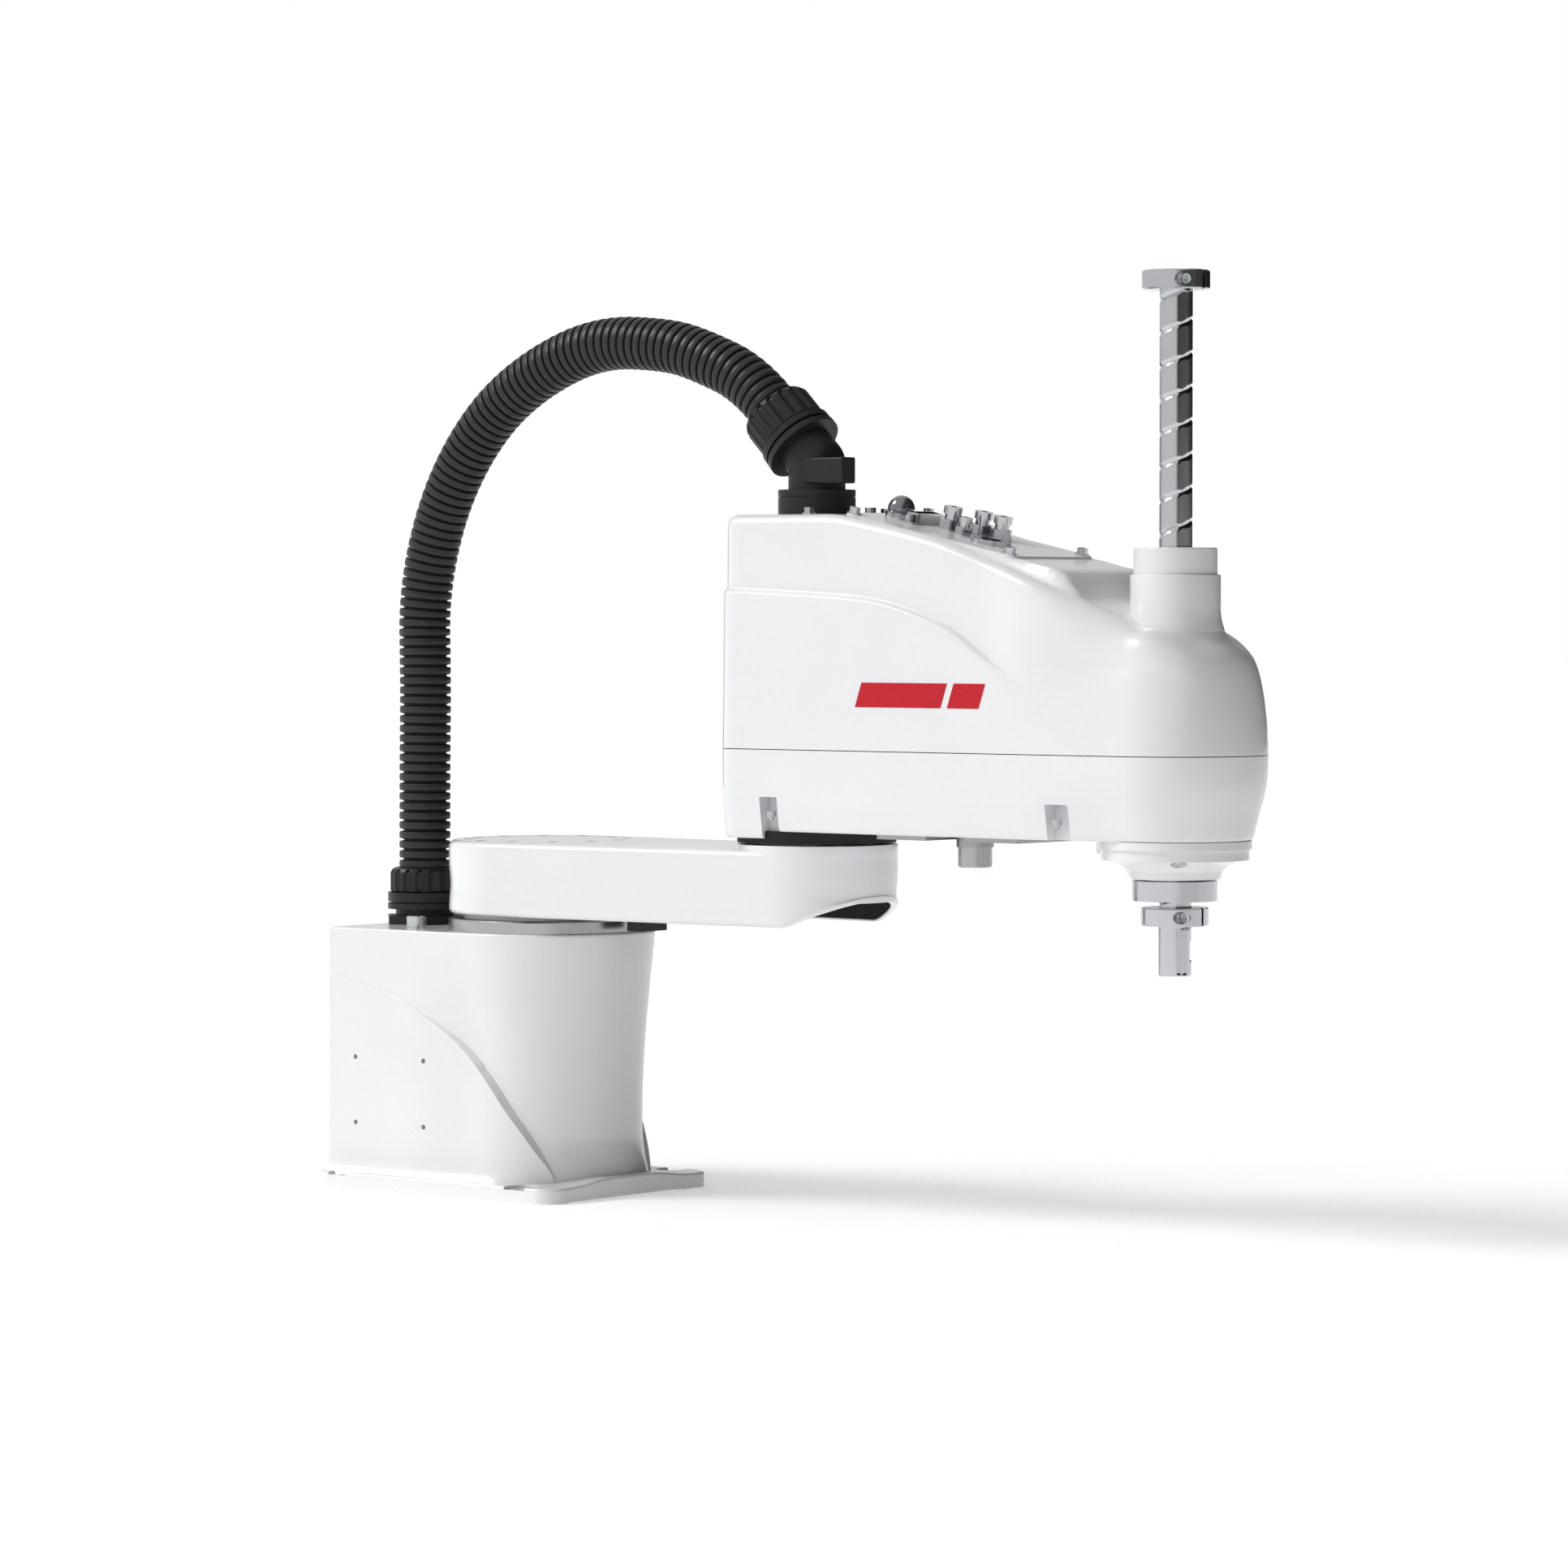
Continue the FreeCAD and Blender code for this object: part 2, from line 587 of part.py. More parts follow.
def arm_upper_shell():
    outer = arm_upper_solid(0)
    return outer.cut(arm_upper_solid(ARM_WALL))


def arm_upper_cover():
    cover = arm_upper_shell()
    cover = cover.cut(block(ARM_REAR - 5, J3_X + 80, -70, 70, ARM_SEAM - 40, ARM_SEAM))
    cover = cover.cut(block(ARM_REAR - 5, REAR_COVER_X + 0.5, -70, 70, ARM_SEAM - 40, 450))
    cover = cover.cut(panel_window(0.3, 14.0))
    cover = cover.cut(tube(22.0, 420.0, 445.0, J2_X))
    cover = cover.cut(tube(TUBE_R - ARM_WALL, 360.0, TUBE_TOP + 1, J3_X))
    return cover.removeSplitter()


def arm_rear_cover():
    cover = arm_upper_shell().common(block(ARM_REAR - 5, REAR_COVER_X, -70, 70, REAR_COVER_LOW, 450))
    return cover.removeSplitter()


def nose_cap():
    cap = tube(25.0, TUBE_TOP, CAP_TOP, J3_X, bore=SHAFT_R + 1.5)
    cap = cap.makeFillet(1.0, [e for e in level_edges(cap, CAP_TOP) if e.BoundBox.XLength > 40])
    cap = cap.fuse(tube(22.0, TUBE_TOP - 6, TUBE_TOP, J3_X, bore=SHAFT_R + 1.5))
    return cap.cut(block(J3_X - 30, J3_X - 22, -16, -12, TUBE_TOP + 3, CAP_TOP - 2)).removeSplitter()


def connector_panel():
    plate = block(-PANEL_LENGTH / 2, PANEL_LENGTH / 2, -PANEL_WIDTH / 2, PANEL_WIDTH / 2, -PANEL_T, 0)
    plate = plate.makeFillet(6.0, vertical_edges(plate, lambda c: True))
    for x, y, r in AIR_PLACES + (SOCKET_PLACE, LAMP_PLACE):
        plate = plate.cut(tube(r, -PANEL_T - 1, 1, x, y))
    plate = plate.cut(block(DSUB_X - 5.0, DSUB_X + 5.0, -19.0, 19.0, -PANEL_T - 1, 1))
    return tilted(plate)


def washer_screw(x, y, seat):
    """A screw head on its washer."""
    head = joined(tube(4.6, seat, seat + 1.0, x, y), tube(3.4, seat + 1.0, seat + 4.2, x, y))
    return head.cut(hexagon(3.0, seat + 2.4, seat + 5.0, x, y))


def arm_screws():
    """Dome headed screws on washers on the cover, and the screws in the side pockets and the flange."""
    screws = []
    for x0, x1 in POCKET_X:
        for side in (-1, 1):
            screws.append(socket_screw((x0 + x1) / 2, side * 52.3, 250.0, 3.0, 3.6, 1.6, 2.0))
    for x, y in on_circle(FLANGE_BOLT_R, 4, J3_X, first=FLANGE_BOLT_TURN):
        head = tube(4.0, 228.6, 233.0, x, y).cut(hexagon(4.0, 228.0, 230.6, x, y))
        screws.append(joined(head, tube(2.0, 233.0, ARM_LOW, x, y)))
    for x, y in TOP_SCREWS:
        screws.append(washer_screw(x, y, COVER_TOP))
    for x, y in PANEL_SCREWS:
        screws.append(tilted(washer_screw(x, y, 0.0)))
    return screws


def arm_air_fittings():
    fittings = []
    for x, y, r in AIR_PLACES:
        size = r / 4.0
        body = joined(hexagon(13.0 * size, 0, 6.5 * size, x, y), tube(r, -9, 0, x, y),
                      tube(4.6 * size, 6.5 * size, 10 * size, x, y),
                      tube(5.8 * size, 10 * size, 14.5 * size, x, y))
        fittings.append(tilted(body.cut(tube(2.1 * size, 2, 15, x, y))))
    return fittings


def arm_round_socket():
    x, y, r = SOCKET_PLACE
    body = joined(tube(12.5, 0, 2.5, x, y), tube(r, -12, 0, x, y))
    body = body.cut(tube(6.5, -6, 3, x, y))
    for px, py in on_circle(4.9, 8, x, y):
        body = body.fuse(tube(0.7, -6.5, 0.5, px, py))
    return tilted(body)


def arm_user_connector():
    """The 15 pin D shaped socket on the panel."""
    flange = block(DSUB_X - 6.2, DSUB_X + 6.2, -19.5, 19.5, 0, 1.2)
    shell = block(DSUB_X - 4.5, DSUB_X + 4.5, -12.5, 12.5, -8, 6.5)
    body = joined(flange, shell)
    body = body.cut(block(DSUB_X - 3.3, DSUB_X + 3.3, -11.3, 11.3, 1.5, 7))
    for y in (-16.2, 16.2):
        body = body.fuse(tube(2.3, -3, 5.0, DSUB_X, y))
    return tilted(body)


def status_lamp():
    x, y, r = LAMP_PLACE
    return tilted(joined(tube(r, -10, 0, x, y), tube(9.6, 0, 3.0, x, y)))


def status_lamp_lens():
    x, y, _ = LAMP_PLACE
    ball = Part.makeSphere(8.4, V(x, y, 5.0)).cut(block(x - 10, x + 10, y - 10, y + 10, -6, 3.0))
    return tilted(ball)


def arm_gland_ring():
    """The round foot of the conduit's elbow on the second link."""
    foot = joined(tube(24.3, COVER_TOP, 448.8, J2_X), tube(23.4, 448.8, 449.3, J2_X),
                  tube(24.3, 449.3, ELBOW_Z, J2_X), tube(22.0, 425.0, COVER_TOP, J2_X))
    return foot.cut(tube(15.0, 424.0, 455.0, J2_X))


def along_elbow(distance):
    """A point on the elbow's slanted axis, measured from its knee."""
    angle = math.radians(ELBOW_TURN)
    return V(J2_X - distance * math.sin(angle), 0, ELBOW_KNEE + distance * math.cos(angle))


def slanted(radius, start, end, bore=0.0):
    """A cylinder on the elbow's slanted axis."""
    axis = along_elbow(1.0) - along_elbow(0.0)
    solid = Part.makeCylinder(radius, end - start, along_elbow(start), axis)
    if bore:
        solid = solid.cut(Part.makeCylinder(bore, end - start + 2, along_elbow(start - 1), axis))
    return solid


def arm_gland_elbow():
    """Elbow that turns the conduit 45 degrees, with the release lever on its side."""
    knee = Part.makeSphere(ELBOW_R, V(J2_X, 0, ELBOW_KNEE))
    body = joined(tube(ELBOW_R, ELBOW_Z, ELBOW_KNEE, J2_X), knee, slanted(ELBOW_R, 0, 20))
    hollow = joined(tube(ELBOW_BORE_R, ELBOW_Z - 1, ELBOW_KNEE, J2_X),
                    Part.makeSphere(ELBOW_BORE_R, V(J2_X, 0, ELBOW_KNEE)), slanted(ELBOW_BORE_R, 0, 23))
    lever = block(J2_X + 4, J2_X + 26, -17, -5, 457.5, 472.7)
    lever = lever.makeFillet(2.0, [e for e in lever.Edges if e.BoundBox.YLength > 11])
    return joined(body, lever).cut(hollow)


def arm_gland_collar():
    """The latch ring between elbow and hand nut."""
    return joined(slanted(25.0, 14.0, 18.0, ELBOW_R), slanted(22.0, 18.0, 20.0, ELBOW_R),
                  slanted(24.6, 20.0, 24.2, ELBOW_BORE_R))


def arm_gland_grip():
    ring = grip_ring(23.2, 0.0, 24.5, 16)
    ring = ring.makeChamfer(1.2, [e for e in level_edges(ring, 0.0) if e.BoundBox.XLength > 45])
    ring.rotate(V(0, 0, 0), V(0, 1, 0), -ELBOW_TURN)
    ring.translate(along_elbow(24.2))
    return ring


def conduit_upper():
    return pipe(conduit_halves()[1], CONDUIT_R)


def j2_output_disc():
    """The turning half of the second joint's bearing, bolted under the second link."""
    return tube(50.0, 233.0, ARM_LOW, J2_X, bore=20.0)


def j2_flexing_cup():
    cup = tube(32.0 - RUN_GAP, 209.0, 233.0, J2_X)
    return cup.cut(tube(29.6, 208.0, 226.0, J2_X)).cut(tube(20.0, 225.0, 234.0, J2_X))


def j2_wave_generator():
    return joined(tube(7.0, 210.0, 268.0, J2_X), tube(28.8, 212.0, 221.0, J2_X))


def j2_motor():
    body = block(J2_X - 28, J2_X + 28, -28, 28, 262, 350)
    body = body.makeChamfer(4.0, vertical_edges(body, lambda c: True))
    body = joined(body, tube(21.0, 350.0, 364.0, J2_X), tube(33.0, 256.0, 262.0, J2_X))
    return body.cut(tube(7.0 + RUN_GAP, 255.0, 270.0, J2_X))


def drive_motor(at, plate, top):
    """A small servo motor standing on its mounting plate, with a hole for the pulley's shaft."""
    x, y = at
    body = block(x - 20, x + 20, y - 20, y + 20, plate, top)
    body = body.makeChamfer(3.0, vertical_edges(body, lambda c: True))
    return body.cut(tube(4.0 + RUN_GAP, plate - 1, plate + 12, x, y))


def j3_motor():
    """The lifting motor, with the brake on its back that holds the spindle up."""
    x, y = J3_MOTOR_AT
    return [drive_motor(J3_MOTOR_AT, 320.0, 392.0), tube(17.0, 392.0, 404.0, x, y)]


def j4_motor():
    return drive_motor(J4_MOTOR_AT, 282.0, 346.0)


def motor_mounts():
    """Plates that carry the two small motors, on posts from the arm's floor."""
    mounts = []
    for (x, y), plate in ((J3_MOTOR_AT, 320.0), (J4_MOTOR_AT, 282.0)):
        side = math.copysign(1.0, y)
        y_in, y_out = sorted((y - side * 20, y + side * 20))
        mount = block(x - 20, x + 20, y_in, y_out, plate - 5, plate)
        for px in (x - 17, x + 17):
            mount = mount.fuse(tube(2.8, ARM_LOW + 7, plate - 5, px, y + side * 17))
        mounts.append(mount.cut(tube(8.0, plate - 6, plate + 1, x, y)).removeSplitter())
    return mounts


def motor_pulley(at, belt_z, plate):
    x, y = at
    wheel = joined(tube(MOTOR_PULLEY_R, belt_z - 1, belt_z + BELT_WIDTH + 1, x, y),
                   tube(MOTOR_PULLEY_R + 2.5, belt_z - 2, belt_z - 1, x, y),
                   tube(MOTOR_PULLEY_R + 2.5, belt_z + BELT_WIDTH + 1, belt_z + BELT_WIDTH + 2, x, y),
                   tube(4.0, belt_z + BELT_WIDTH, plate + 9, x, y))
    key_way = block(x - 1, x + 1, y + 6, y + 9, belt_z - 3, belt_z + BELT_WIDTH)
    return wheel.cut(key_way)


def j3_motor_pulley():
    return motor_pulley(J3_MOTOR_AT, SCREW_BELT_Z, 320.0)


def j4_motor_pulley():
    return motor_pulley(J4_MOTOR_AT, SPLINE_BELT_Z, 282.0)


def belt(at, low):
    """A closed belt round a motor pulley and the pulley on the spindle's nut."""
    x, y = at
    away = math.hypot(J3_X - x, y)
    inner = capsule(0.0, MOTOR_PULLEY_R + RUN_GAP, away, PULLEY_R + RUN_GAP, low - 1, low + BELT_WIDTH + 1)
    loop = capsule(0.0, MOTOR_PULLEY_R + RUN_GAP + BELT_T, away, PULLEY_R + RUN_GAP + BELT_T, low,
                   low + BELT_WIDTH).cut(inner)
    loop.rotate(V(0, 0, 0), UP, math.degrees(math.atan2(-y, J3_X - x)))
    loop.translate(V(x, y, 0))
    return loop


def drive_belts():
    return [belt(J3_MOTOR_AT, SCREW_BELT_Z), belt(J4_MOTOR_AT, SPLINE_BELT_Z)]


def nut_housing():
    """Bridge that holds the ball nut's bearing above the arm's floor."""
    bridge = tube(34.0, 318.0, 336.0, J3_X, bore=29.0)
    for side in (-1, 1):
        bridge = bridge.fuse(block(J3_X - 6, J3_X + 6, side * 37 - 4.5, side * 37 + 4.5, 252, 330))
    return bridge.cut(tube(29.0, 317.0, 337.0, J3_X)).removeSplitter()


def nut_bearings():
    """Outer rings of the two nuts' bearings."""
    return [tube(29.0, 318.0, 336.0, J3_X, bore=NUT_R + RUN_GAP),
            tube(25.0, 222.0, ARM_LOW, J3_X, bore=NUT_R + RUN_GAP)]


def nose_flange():
    """The flared ring under the nose, round the spline nut's bearing."""
    flare = turned([(25.0, 218.0), (27.0, 218.0), (28.5, 222.5), (32.5, 226.5), (41.0, 229.6), (44.5, 229.6),
                    (44.5, 236.0), (46.0, 236.0), (46.0, ARM_LOW), (25.0, ARM_LOW)], J3_X)
    tab = block(J3_X - 52, J3_X - 38, -8, 8, 232.0, 238.5)
    flange = joined(flare, tab)
    flange = flange.cut(tube(25.0, 217.0, ARM_LOW + 1, J3_X))
    for x, y in on_circle(FLANGE_BOLT_R, 4, J3_X, first=FLANGE_BOLT_TURN):
        flange = flange.cut(tube(5.0, 226.0, 233.0, x, y))
        flange = flange.cut(tube(2.2, 232.0, ARM_LOW + 1, x, y))
    return flange


def arm_stop_pin():
    pin = tube(10.5, 220.5, ARM_LOW, STOP_PIN_X)
    return pin.makeChamfer(0.8, level_edges(pin, 220.5))


def arm_bottom_plates():
    """Two cover plates under the link, and the dark collar round the stop pin."""
    return [block(300.0, 338.0, -34.0, 34.0, 237.5, ARM_LOW),
            block(372.0, 408.0, -34.0, 34.0, 237.5, ARM_LOW),
            tube(11.5, 233.0, ARM_LOW, STOP_PIN_X, bore=10.5)]


# --- spindle and its drives -------------------------------------------------------------------
def spline_nut():
    """The nut that turns the spindle, with its end ring below the nose."""
    return joined(tube(NUT_R, 217.0, 276.0, J3_X), tube(25.6, 205.0, 217.0, J3_X)).cut(
        tube(SHAFT_R + SHAFT_FIT, 204.0, 277.0, J3_X))


def pulley(belt_z):
    return joined(tube(PULLEY_R, belt_z - 1, belt_z + BELT_WIDTH + 1, J3_X),
                  tube(PULLEY_R + 2.5, belt_z - 2, belt_z - 1, J3_X)).cut(
                      tube(NUT_R, belt_z - 3, belt_z + BELT_WIDTH + 2, J3_X))


def spline_pulley():
    return pulley(SPLINE_BELT_Z)


def screw_pulley():
    return pulley(SCREW_BELT_Z)


def ball_nut():
    """The nut that lifts the spindle as it turns."""
    return joined(tube(NUT_R, 296.0, 350.0, J3_X), tube(21.0, 350.0, 356.0, J3_X)).cut(
        tube(SHAFT_R + SHAFT_FIT, 295.0, 357.0, J3_X))


def spindle_shaft():
    """Hollow shaft with three ball tracks along it and a flat near its lower end."""
    # three lengths, so that the wall is divided at the flat's two ends
    shaft = tube(SHAFT_R, SHAFT_LOW, FLAT_LOW, J3_X, bore=SHAFT_BORE_R)
    shaft = shaft.fuse(tube(SHAFT_R, FLAT_LOW, FLAT_HIGH, J3_X, bore=SHAFT_BORE_R))
    shaft = shaft.fuse(tube(SHAFT_R, FLAT_HIGH, SHAFT_HIGH, J3_X, bore=SHAFT_BORE_R))
    shaft = shaft.cut(tube(SHAFT_R + 2, TOOL_END_TOP, TOOL_END_TOP + 1.5, J3_X, bore=SHAFT_R - 0.5))
    for x, y in on_circle(SHAFT_R + 0.6, 3, J3_X, first=-39.0):
        shaft = shaft.cut(tube(1.5, SHAFT_LOW - 1, SHAFT_HIGH + 1, x, y))
    flat = block(J3_X - 12, J3_X + 12, -12, FLAT_DEPTH - SHAFT_R, FLAT_LOW, FLAT_HIGH)
    flat.rotate(V(J3_X, 0, 0), UP, FLAT_TURN)
    return shaft.cut(flat)


def clamp_collar(low, high):
    """A split clamp ring on the shaft with one flat on its rim."""
    ring = tube(20.3, low, high, J3_X, bore=SHAFT_R)
    ring = ring.makeChamfer(0.8, level_edges(ring, high)[:1] + level_edges(ring, low)[:1])
    ring = ring.cut(block(J3_X + 5, J3_X + 25, -0.9, 0.9, low - 1, high + 1))
    ring = ring.cut(block(J3_X - 30, J3_X - 18.3, -20, 20, low - 1, high + 1))
    screw_z = (low + high) / 2
    ring = ring.cut(Part.makeCylinder(2.0, 36, V(J3_X + 14.5, -30, screw_z), V(0, 1, 0)))
    return ring.cut(Part.makeCylinder(3.6, 24, V(J3_X + 14.5, -30, screw_z), V(0, 1, 0)))


def upper_collar():
    return clamp_collar(569.0, 580.5)


def lower_collar():
    return clamp_collar(190.0, 201.0)


def collar_screws():
    screws = []
    for z in (574.75, 195.5):
        shank = Part.makeCylinder(2.0, 12, V(J3_X + 14.5, -6, z), V(0, 1, 0))
        head = Part.makeCylinder(3.4, 4, V(J3_X + 14.5, -10, z), V(0, 1, 0))
        head = head.cut(Part.makeCylinder(1.6, 2.2, V(J3_X + 14.5, -10.2, z), V(0, 1, 0)))
        screws.append(joined(head, shank))
    return screws


EXPORTS = {
    "base_casting": base_casting,
    "base_rear_panel": base_rear_panel,
    "rear_panel_screws": rear_panel_screws,
    "base_round_connectors": base_round_connectors,
    "base_user_connector": base_user_connector,
    "base_air_fittings": base_air_fittings,
    "base_gland_nut": base_gland_nut,
    "base_gland_body": base_gland_body,
    "base_gland_grip": base_gland_grip,
    "conduit_lower": conduit_lower,
    "j1_motor": j1_motor,
    "j1_wave_generator": j1_wave_generator,
    "j1_circular_spline": j1_circular_spline,
    "j1_bearing_ring": j1_bearing_ring,
    "j1_stop_pins": j1_stop_pins,
    "j1_flexing_cup": j1_flexing_cup,
    "j1_output_flange": j1_output_flange,
    "j1_stop_block": j1_stop_block,
    "link_casting": link_casting,
    "link_bolts": link_bolts,
    "j2_reducer_rings": j2_reducer_rings,
    "j2_wave_generator": j2_wave_generator,
    "j2_flexing_cup": j2_flexing_cup,
    "j2_output_disc": j2_output_disc,
    "j2_motor": j2_motor,
    "arm_casting": arm_casting,
    "arm_upper_cover": arm_upper_cover,
    "arm_rear_cover": arm_rear_cover,
    "arm_bottom_plates": arm_bottom_plates,
    "arm_stop_pin": arm_stop_pin,
    "connector_panel": connector_panel,
    "arm_screws": arm_screws,
    "arm_air_fittings": arm_air_fittings,
    "arm_round_socket": arm_round_socket,
    "arm_user_connector": arm_user_connector,
    "status_lamp": status_lamp,
    "status_lamp_lens": status_lamp_lens,
    "arm_gland_ring": arm_gland_ring,
    "arm_gland_elbow": arm_gland_elbow,
    "arm_gland_collar": arm_gland_collar,
    "arm_gland_grip": arm_gland_grip,
    "conduit_upper": conduit_upper,
    "j3_motor": j3_motor,
    "j4_motor": j4_motor,
    "motor_mounts": motor_mounts,
    "j3_motor_pulley": j3_motor_pulley,
    "j4_motor_pulley": j4_motor_pulley,
    "drive_belts": drive_belts,
    "nut_housing": nut_housing,
    "nut_bearings": nut_bearings,
    "nose_flange": nose_flange,
    "nose_cap": nose_cap,
    "spline_nut": spline_nut,
    "spline_pulley": spline_pulley,
    "ball_nut": ball_nut,
    "screw_pulley": screw_pulley,
    "spindle_shaft": spindle_shaft,
    "upper_collar": upper_collar,
    "lower_collar": lower_collar,
    "collar_screws": collar_screws,
}


def main():
    os.makedirs("parts", exist_ok=True)
    for name, make in EXPORTS.items():
        solids = make()
        shape = Part.makeCompound(solids) if isinstance(solids, list) else solids
        if not shape.isValid():
            print("INVALID", name)
        shape.exportStep("parts/%s.step" % name)
        print("%-22s %2d solids %10.0f mm3" % (name, len(shape.Solids), shape.Volume))


main()
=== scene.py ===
"""SCARA robot arm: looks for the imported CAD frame. Metres, +X from the base to the nose, +Z up."""
import json
import math

import bmesh
import bpy
import numpy as np
from mathutils import Matrix, Vector


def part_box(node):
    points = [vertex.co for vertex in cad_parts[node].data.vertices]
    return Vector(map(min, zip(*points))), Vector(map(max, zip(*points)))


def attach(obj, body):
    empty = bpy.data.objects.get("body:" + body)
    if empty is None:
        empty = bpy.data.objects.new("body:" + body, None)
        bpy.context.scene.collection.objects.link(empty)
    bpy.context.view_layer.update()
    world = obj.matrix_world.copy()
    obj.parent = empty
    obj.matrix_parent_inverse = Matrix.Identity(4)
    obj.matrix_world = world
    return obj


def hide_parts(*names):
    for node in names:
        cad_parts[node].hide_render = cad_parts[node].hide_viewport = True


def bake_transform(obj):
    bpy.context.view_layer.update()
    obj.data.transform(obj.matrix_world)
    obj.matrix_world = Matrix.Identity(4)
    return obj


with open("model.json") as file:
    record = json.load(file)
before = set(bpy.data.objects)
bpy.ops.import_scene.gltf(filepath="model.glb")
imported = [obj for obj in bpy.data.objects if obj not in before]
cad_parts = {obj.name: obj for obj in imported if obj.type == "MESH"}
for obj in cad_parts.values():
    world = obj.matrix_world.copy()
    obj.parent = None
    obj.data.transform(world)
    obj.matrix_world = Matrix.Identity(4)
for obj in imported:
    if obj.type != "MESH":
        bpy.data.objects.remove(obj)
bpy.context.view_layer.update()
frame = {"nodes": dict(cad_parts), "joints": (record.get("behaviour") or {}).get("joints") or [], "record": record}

MM = 0.001
J2_X = next(j["pos_m"][0] for j in frame["joints"] if j["name"] == "j2_elbow") / MM
J3_X = (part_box("spindle_shaft")[0].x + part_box("spindle_shaft")[1].x) / 2 / MM
SHARP = 38.0                   # edges that turn by more degrees than this stay crisp
WELD = 1e-6

# --- materials --------------------------------------------------------------------------------
BROAD_SCALE = 14.0             # of the slow change in tone
RELIEF = 0.0002                # metres of height behind a relief strength of one
LEAST_ROUGH = 0.02


def material(name, colour, rough, metal=0.0, coat=0.0, coat_rough=0.05, bump=0.0, grain=900.0,
             tone=0.02, rough_spread=0.05, stretch=(1, 1, 1)):
    """A surface whose tone, roughness and relief vary with fine noise in object space."""
    m = bpy.data.materials.new(name)
    m.use_nodes = True
    nt = m.node_tree
    shader = nt.nodes["Principled BSDF"]
    shader.inputs["Metallic"].default_value = metal
    shader.inputs["IOR"].default_value = 1.5
    shader.inputs["Coat Weight"].default_value = coat
    shader.inputs["Coat Roughness"].default_value = coat_rough
    where = nt.nodes.new("ShaderNodeTexCoord")
    mapping = nt.nodes.new("ShaderNodeMapping")
    mapping.inputs["Scale"].default_value = stretch
    noise = nt.nodes.new("ShaderNodeTexNoise")
    noise.inputs["Scale"].default_value = grain
    noise.inputs["Detail"].default_value = 4.0
    nt.links.new(where.outputs["Object"], mapping.inputs["Vector"])
    nt.links.new(mapping.outputs["Vector"], noise.inputs["Vector"])
    broad = nt.nodes.new("ShaderNodeTexNoise")
    broad.inputs["Scale"].default_value = BROAD_SCALE
    nt.links.new(where.outputs["Object"], broad.inputs["Vector"])
    ramp = nt.nodes.new("ShaderNodeMix")
    ramp.data_type = "RGBA"
    dark = [c * (1 - tone) for c in colour]
    light = [min(1.0, c * (1 + tone)) for c in colour]
    ramp.inputs["A"].default_value = (*dark, 1)
    ramp.inputs["B"].default_value = (*light, 1)
    nt.links.new(broad.outputs["Fac"], ramp.inputs["Factor"])
    nt.links.new(ramp.outputs["Result"], shader.inputs["Base Color"])
    spread = nt.nodes.new("ShaderNodeMapRange")
    spread.inputs["To Min"].default_value = max(LEAST_ROUGH, rough - rough_spread)
    spread.inputs["To Max"].default_value = rough + rough_spread
    nt.links.new(noise.outputs["Fac"], spread.inputs["Value"])
    nt.links.new(spread.outputs["Result"], shader.inputs["Roughness"])
    if bump:
        relief = nt.nodes.new("ShaderNodeBump")
        relief.inputs["Strength"].default_value = bump
        relief.inputs["Distance"].default_value = RELIEF
        nt.links.new(noise.outputs["Fac"], relief.inputs["Height"])
        nt.links.new(relief.outputs["Normal"], shader.inputs["Normal"])
    return m


WHITE = material("white_paint", (0.86, 0.865, 0.875), 0.30, coat=0.5, coat_rough=0.08, bump=0.05, grain=2200)
WHITE_PLASTIC = material("white_plastic", (0.84, 0.845, 0.855), 0.33, coat=0.3, coat_rough=0.10, bump=0.05,
                         grain=2600)
BLACK = material("black_plastic", (0.044, 0.045, 0.047), 0.34, bump=0.18, grain=1500, tone=0.15,
                 rough_spread=0.10)
CONDUIT = material("conduit_polyamide", (0.060, 0.061, 0.064), 0.36, bump=0.15, grain=1200, tone=0.15,
                   rough_spread=0.08)
STEEL = material("bright_steel", (0.66, 0.67, 0.69), 0.19, metal=1.0, bump=0.01, grain=300,
                 stretch=(1, 1, 0.1), rough_spread=0.04)
ALUMINIUM = material("bare_aluminium", (0.50, 0.505, 0.515), 0.34, metal=1.0, bump=0.10, tone=0.05,
                     rough_spread=0.10)
MACHINED = material("machined_ring", (0.56, 0.565, 0.575), 0.26, metal=1.0, bump=0.05, grain=500,
                    stretch=(1, 1, 16), tone=0.04, rough_spread=0.08)
DARK = material("dark_metal", (0.085, 0.087, 0.092), 0.40, metal=0.7, bump=0.12, grain=800, tone=0.12,
                rough_spread=0.10)
# Painted shade: a near-black colour put on hollows, gaps and parts that sit in shadow.
SHADOW = material("painted_shade_inside", (0.030, 0.031, 0.033), 0.55, bump=0.10, grain=700, tone=0.15)
CHROME = material("chrome", (0.60, 0.605, 0.62), 0.12, metal=1.0, bump=0.02, grain=600, tone=0.03,
                  rough_spread=0.04)
LAMP = material("lamp_glass", (0.30, 0.31, 0.33), 0.07, metal=0.6, coat=1.0, coat_rough=0.02, bump=0.02,
                grain=500, tone=0.10, rough_spread=0.03)
RUBBER = material("belt_rubber", (0.03, 0.03, 0.03), 0.60, bump=0.25, grain=1500, tone=0.15)
RED = material("accent_red", (0.62, 0.012, 0.030), 0.32, coat=0.5, coat_rough=0.08, bump=0.05, grain=2200)

